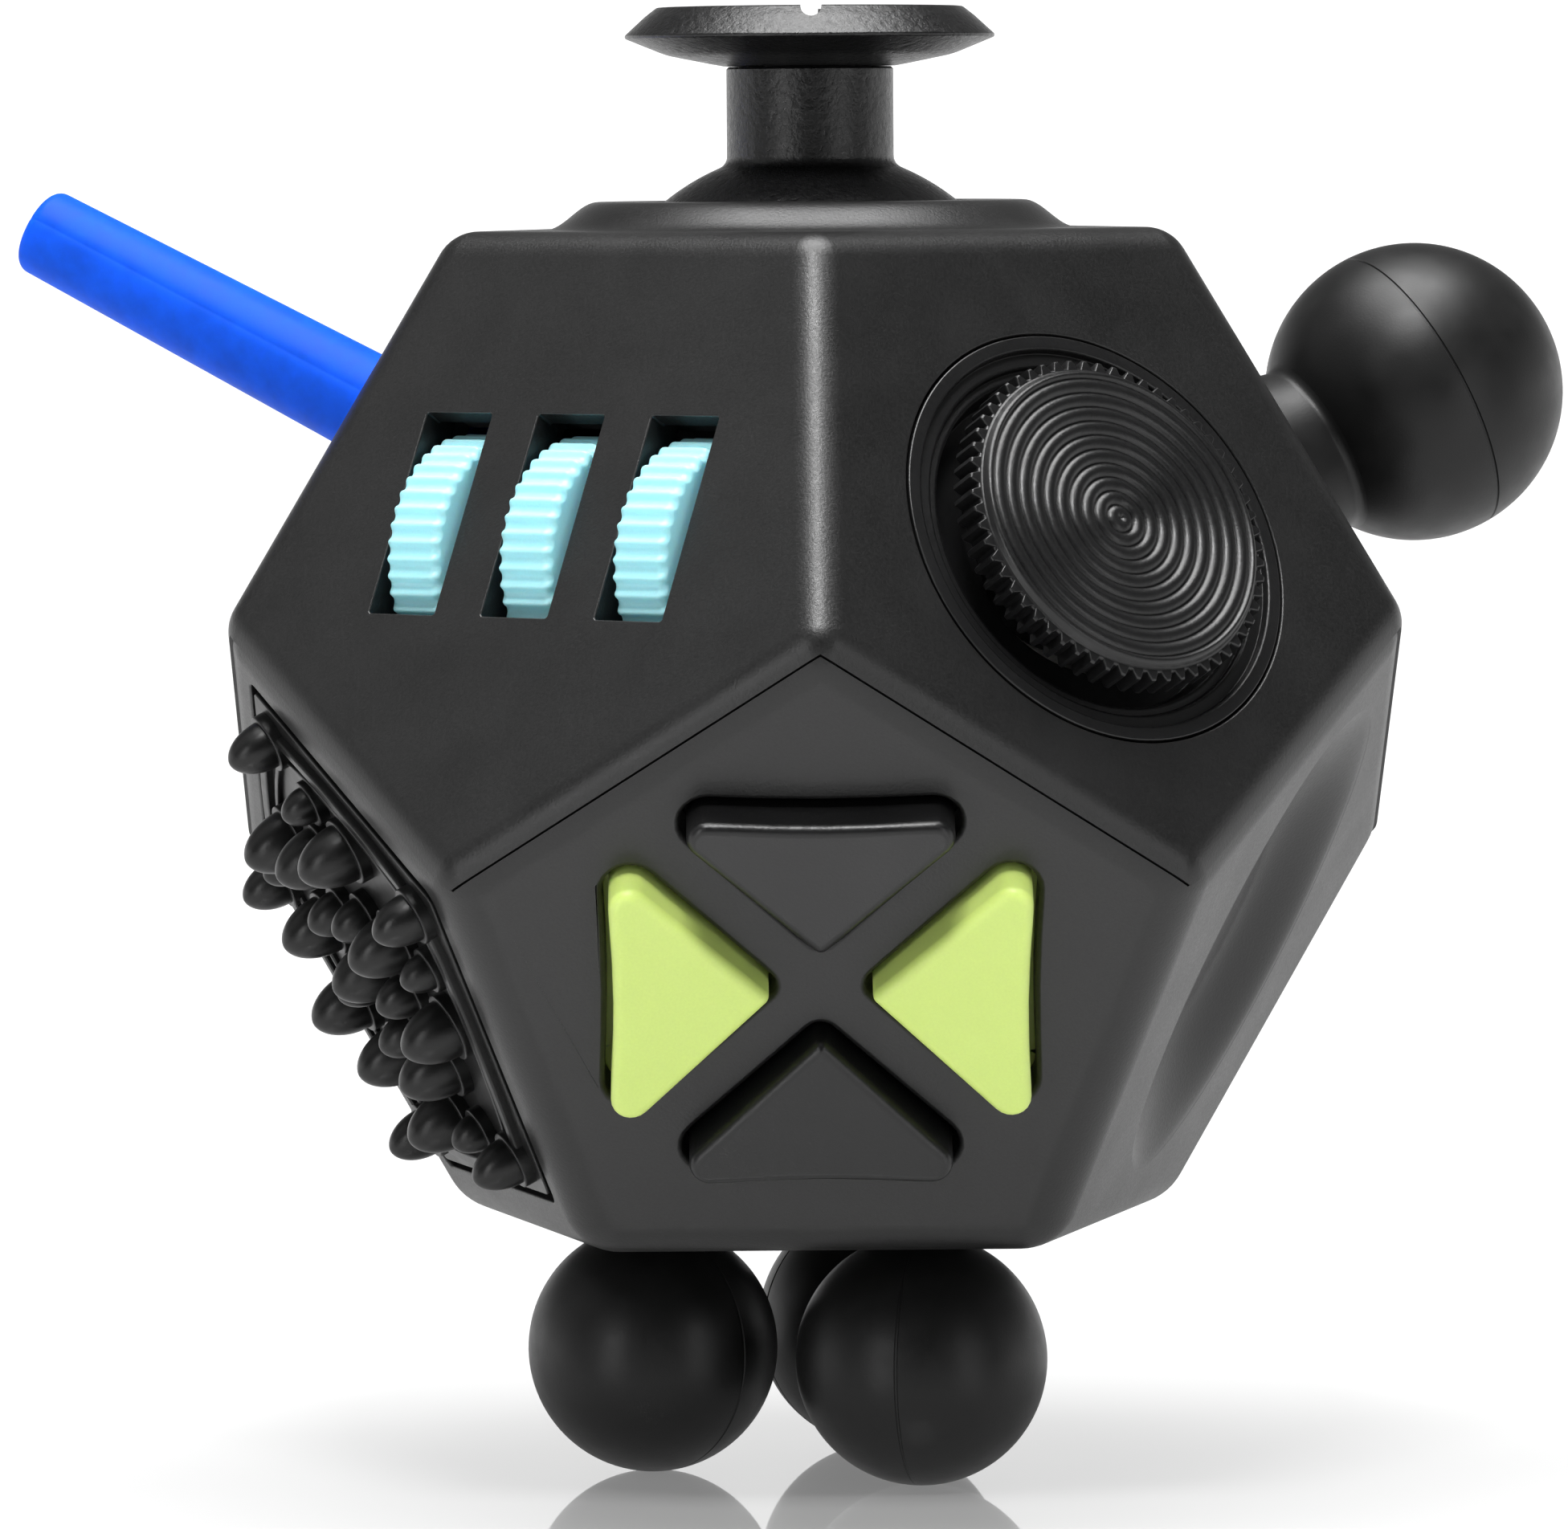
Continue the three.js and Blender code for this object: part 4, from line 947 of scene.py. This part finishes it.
def parting(height, line=0.012):
    """A fine moulding line, raised or sunk, where the two halves of the mould met."""
    def shape(r, h, angle):
        near = np.abs(np.sin(angle)) < line
        return r + height * near, h
    return shape


def side_ball():
    radius, out, neck = SIDE_BALL["radius"], SIDE_BALL["out"], SIDE_BALL["neck"]
    neck_h = out - math.sqrt(radius**2 - neck**2)
    angle = 180 - math.asin(neck / radius) / DEG
    profile = [(0, -4.6), (2.9, -4.6), (2.9, -2.4), (2.75, -1.9), (2.75, 0.2), (5.1, 0.12)]
    profile += [tuple(p) for p in softened([(5.2, 0.2), (4.55, 2.0, 4.0), (neck, neck_h)], 8)]
    groove = [(radius - 0.07, out - 0.03), (radius - 0.07, out + 0.03)]
    ball = [*arc(radius, out, angle, 90.6, 40), *groove, *arc(radius, out, 89.4, 0, 40)]
    ball[-1] = (0, out + radius)
    profile = softened([*profile[:-1], (neck, neck_h, 0.5), *ball[1:]], 4)
    return lathe(profile, 144)


def soft_rod():
    radius, length = ROD["radius"], ROD["length"]
    taper = ROD["root"] - radius
    shaft = [(radius + taper * min(1, 1 - h / length), h) for h in np.linspace(-3.2, length - 1.2, 60)]
    profile = softened([(0, -4.8), (3.2, -4.8, 0.2), (3.2, -3.5, 0.2), *shaft,
                        (radius, length, 0.55), (0, length)], 7)
    return lathe(profile, 0, parting(-0.03, 0.02), parted_angles(64))


def ball_foot():
    radius, neck = FOOT["radius"], FOOT["neck"]
    low = INRADIUS - FOOT["drop"]
    ball = arc(radius, low, 180, math.asin(neck / radius) / DEG, 48)
    ball[0] = (0, low - radius)
    profile = softened([*ball[:-1], (*ball[-1], 0.4), (neck, 2.4), (3.2, 2.4, 0.2), (3.2, 3.9, 0.2),
                        (0, 3.9)], 4)
    return lathe(profile, 0, parting(-0.05), parted_angles(96))


ball_face, rod_face = FACE["side_ball"], FACE["rod"]
finished(to_object("soft_side_ball", side_ball(), ball_face), None, RUBBER, "black_silicone",
         "squeeze_ball", blend=("root", "side_ball", in_frame(ball_face, (0, 0, 0.4)),
                                in_frame(ball_face, (0, 0, 4.6))))
finished(to_object("soft_blue_rod", soft_rod(), rod_face @ shift(y=ROD["v"]) @ turn(20)), None, BLUE,
         "blue_silicone", "flex_rod", blend=("root", "rod", in_frame(rod_face, (0, ROD["v"], -1)),
                                             in_frame(rod_face, (0, ROD["v"], 3.5))))
for name, azimuth in zip(("front", "right", "rear"), FOOT["azimuths"]):
    spot = ring_point(FOOT["ring"], azimuth, -INRADIUS)
    finished(to_object(f"soft_foot_{name}", ball_foot(), shift(*spot) @ turn(azimuth + 40)), "root",
             RUBBER, "black_silicone", f"ball_foot_{name}")


# ---- toggle -------------------------------------------------------------------------------
def toggle_rocker():
    half_u, half_v, depth, hub_r = TOGGLE["half_u"], TOGGLE["half_v"], TOGGLE["pivot_depth"], 1.85
    hub = [(hub_r * math.sin(a * DEG), -depth + hub_r * math.cos(a * DEG)) for a in range(100, 261, 10)]
    side = softened([
        (half_v, 1.9, 0.45), (half_v - 0.3, -1.6, 0.2), (hub_r, -2.9), *hub, (-hub_r, -2.9),
        (-half_v + 0.3, -1.6, 0.2), (-half_v, 1.9, 0.45), (-1.2, 0.98, 0.5), (0, 0.7, 2.0), (1.2, 0.98, 0.5),
    ], 6, closed=True)
    middle = np.array([0, -0.6])
    edge = 0.3
    levels = []
    for a in np.linspace(0, 90, 6):
        inset = edge * (1 - math.sin(a * DEG))
        outline = middle + (side - middle) * (1 - inset / half_v)
        levels.append((outline, -half_u + edge * (1 - math.cos(a * DEG))))
    levels += [(outline, -h) for outline, h in levels[::-1]]
    verts, faces = loft(levels)
    return verts[:, [2, 0, 1]], faces  # drawn in (v, n) and pushed along u


toggle_place = (FACE["toggle"] @ shift(z=-TOGGLE["pivot_depth"]) @ turn(-TOGGLE["lean"], "X")
                @ shift(z=TOGGLE["pivot_depth"]))
finished(to_object("toggle_rocker_key", toggle_rocker(), toggle_place), "toggle", BLACK,
         "black_plastic", "toggle_rocker")


# ---- rolling ball and dial ------------------------------------------------------------------
def bearing_ball():
    return lathe(full_ball(BEARING_BALL["radius"], -BEARING_BALL["depth"], 64), 128)


def click_dial():
    radius, low, top, hub = DIAL["radius"], DIAL["low"], DIAL["top"], DIAL["hub"]

    def notch(r, h, angle):
        near_rim = np.clip((r - (radius - 2.2)) / 1.6, 0, 1)
        return r - 0.9 * near_rim * np.maximum(0, np.cos(DIAL["notches"] * angle)) ** 2, h

    profile = softened([
        (0, -2.3), (hub, -2.3), (hub, low), (radius, low, 0.3), (radius, top, 0.55),
        (radius - 2.3, top, 0.4), (radius - 2.9, top - 0.5, 0.8), (2.4, top - 0.9, 3.0),
        (1.6, top - 0.9, 0.3), (1.3, top - 0.4, 0.25), (0, top - 0.35),
    ], 6)
    return lathe(profile, 240, notch)


finished(to_object("steel_rolling_ball", bearing_ball(), FACE["bearing_ball"]), "bearing_ball", POLISHED,
         "steel", "rolling_ball")
finished(to_object("click_dial_knob", click_dial(), FACE["dial"]), "dial", BLACK, "black_plastic",
         "click_dial")


# ---- CAD pieces that stay, with finishes of their own ------------------------------------------
BY_SLOT = {"shell": SHELL, "black_plastic": BLACK, "inner_plastic": INNER, "white_plastic": WHITE,
           "aqua_plastic": AQUA, "lime_plastic": LIME, "black_silicone": RUBBER, "blue_silicone": BLUE,
           "grey_silicone": GREY, "steel": STEEL}
for part in frame["record"]["subparts"]:
    node = frame["nodes"][part["node"]]
    if node.hide_render:
        continue
    if not node.material_slots:
        node.data.materials.append(None)
    for holder in node.material_slots:
        holder.material = BY_SLOT[part["material_slot"]]


# ---- floor, light and camera --------------------------------------------------------------
def floor():
    """A glossy pale floor that glows, white in the distance; its glow is painted darker towards the toy as a
    painted contact shadow, and it also reflects the toy.
    """
    size = 6.0
    data = bpy.data.meshes.new("floor")
    data.from_pydata([(x, y, 0) for x, y in ((-size, -size), (size, -size), (size, size), (-size, size))],
                     [], [(0, 1, 2, 3)])
    obj = bpy.data.objects.new("floor", data)
    bpy.context.scene.collection.objects.link(obj)
    n = Nodes("floor_acrylic")
    away = n.add("ShaderNodeVectorMath", operation="LENGTH")
    n.link(n.place, away.inputs[0])
    # the glow is painted darker near the toy, from 0.4 close in to 1.0 far out: a painted contact shadow
    n.output(Base_Color=(0.4, 0.4, 0.4, 1), Roughness=0.6, Emission_Strength=0.85,
             Emission_Color=n.ramp(away.outputs["Value"], 0.4, 1.0, 0.012, 0.3))
    gloss = n.add("ShaderNodeBsdfGlossy")
    gloss.inputs["Roughness"].default_value = 0.03
    gloss.inputs["Color"].default_value = (1, 1, 1, 1)
    fresnel = n.add("ShaderNodeFresnel")
    fresnel.inputs["IOR"].default_value = 1.5
    mix = n.add("ShaderNodeMixShader")
    n.link(fresnel.outputs[0], mix.inputs[0])
    n.link(n.shader.outputs[0], mix.inputs[1])
    n.link(gloss.outputs[0], mix.inputs[2])
    n.link(mix.outputs[0], n.tree.nodes["Material Output"].inputs["Surface"])
    data.materials.append(n.material)


def world():
    """White at the horizon and below, and darker overhead."""
    w = bpy.data.worlds.new("studio")
    bpy.context.scene.world = w
    w.use_nodes = True
    tree = w.node_tree
    background = tree.nodes["Background"]
    place = tree.nodes.new("ShaderNodeTexCoord")
    split = tree.nodes.new("ShaderNodeSeparateXYZ")
    ramp = tree.nodes.new("ShaderNodeValToRGB")
    tree.links.new(place.outputs["Generated"], split.inputs[0])
    tree.links.new(split.outputs["Z"], ramp.inputs["Fac"])
    tree.links.new(ramp.outputs["Color"], background.inputs["Color"])
    first, last = ramp.color_ramp.elements
    first.position, first.color = 0.12, (1, 1, 1, 1)
    last.position, last.color = 0.45, (0.1, 0.1, 0.1, 1)
    middle = ramp.color_ramp.elements.new(0.22)
    middle.color = (0.3, 0.3, 0.3, 1)
    background.inputs["Strength"].default_value = 1.25


def direction(azimuth, elevation):
    a, e = azimuth * DEG, elevation * DEG
    return Vector((math.sin(a) * math.cos(e), -math.cos(a) * math.cos(e), math.sin(e)))


def softbox(name, azimuth, elevation, distance, width, height, power):
    """A rectangular light aimed at the body's centre. Sizes are in metres, power in watts."""
    data = bpy.data.lights.new(name, "AREA")
    data.shape = "RECTANGLE"
    data.size, data.size_y, data.energy = width, height, power
    obj = bpy.data.objects.new(name, data)
    bpy.context.scene.collection.objects.link(obj)
    aim = Vector((0, 0, CENTRE_Z * MM))
    out = direction(azimuth, elevation)
    obj.location = aim + out * distance
    obj.rotation_euler = out.to_track_quat("Z", "Y").to_euler()


def camera():
    """The photograph's view. Lengths are in millimetres."""
    azimuth, elevation, roll, distance = -0.402, 3.8, -0.399, 420.73
    aside, down = -1.354, -1.773  # the body's centre is a little off the middle of the picture
    lens, sensor = 215.278, 36.0
    back = direction(azimuth, elevation)
    level = Vector((0, 0, 1)).cross(back).normalized()
    up = back.cross(level)
    c, s = math.cos(roll * DEG), math.sin(roll * DEG)
    right, top = level * c + up * s, up * c - level * s
    data = bpy.data.cameras.new("camera")
    data.lens, data.sensor_width, data.sensor_fit = lens, sensor, "HORIZONTAL"
    data.clip_start, data.clip_end = 0.01, 20
    obj = bpy.data.objects.new("camera", data)
    bpy.context.scene.collection.objects.link(obj)
    place = Vector((0, 0, CENTRE_Z)) + back * distance + right * aside + top * down
    turned = Matrix((right, top, back)).transposed().to_4x4()
    obj.matrix_world = Matrix.Translation(place * MM) @ turned
    bpy.context.scene.camera = obj


def flag():
    """Dark cards round the camera, in metres, which keep the blacks that face it deep."""
    data = bpy.data.meshes.new("flag")
    line, bottom, top = [(-1.0, -0.15), (-0.55, -0.7), (0.55, -0.7), (1.0, -0.15)], 0.003, 0.42
    data.from_pydata([(x, y, z) for x, y in line for z in (bottom, top)], [],
                     [(2 * i, 2 * i + 2, 2 * i + 3, 2 * i + 1) for i in range(3)])
    obj = bpy.data.objects.new("flag", data)
    bpy.context.scene.collection.objects.link(obj)
    data.materials.append(Nodes("flag_felt").output(Base_Color=(0.02, 0.02, 0.02, 1), Roughness=0.9))
    obj.visible_camera = False


floor()
flag()
world()
softbox("softbox_above", azimuth=180, elevation=88, distance=0.5, width=0.4, height=0.3, power=3.8)
softbox("softbox_front", azimuth=-6, elevation=61, distance=0.6, width=0.14, height=0.1, power=2.4)
softbox("softbox_left", azimuth=-38, elevation=9, distance=0.56, width=0.06, height=0.21, power=0.4)
softbox("softbox_right", azimuth=43, elevation=9, distance=0.56, width=0.12, height=0.21, power=0.26)
softbox("softbox_far_left", azimuth=-84, elevation=38, distance=0.8, width=0.6, height=0.6, power=0.38)
camera()
bpy.context.scene.view_settings.view_transform = "Standard"
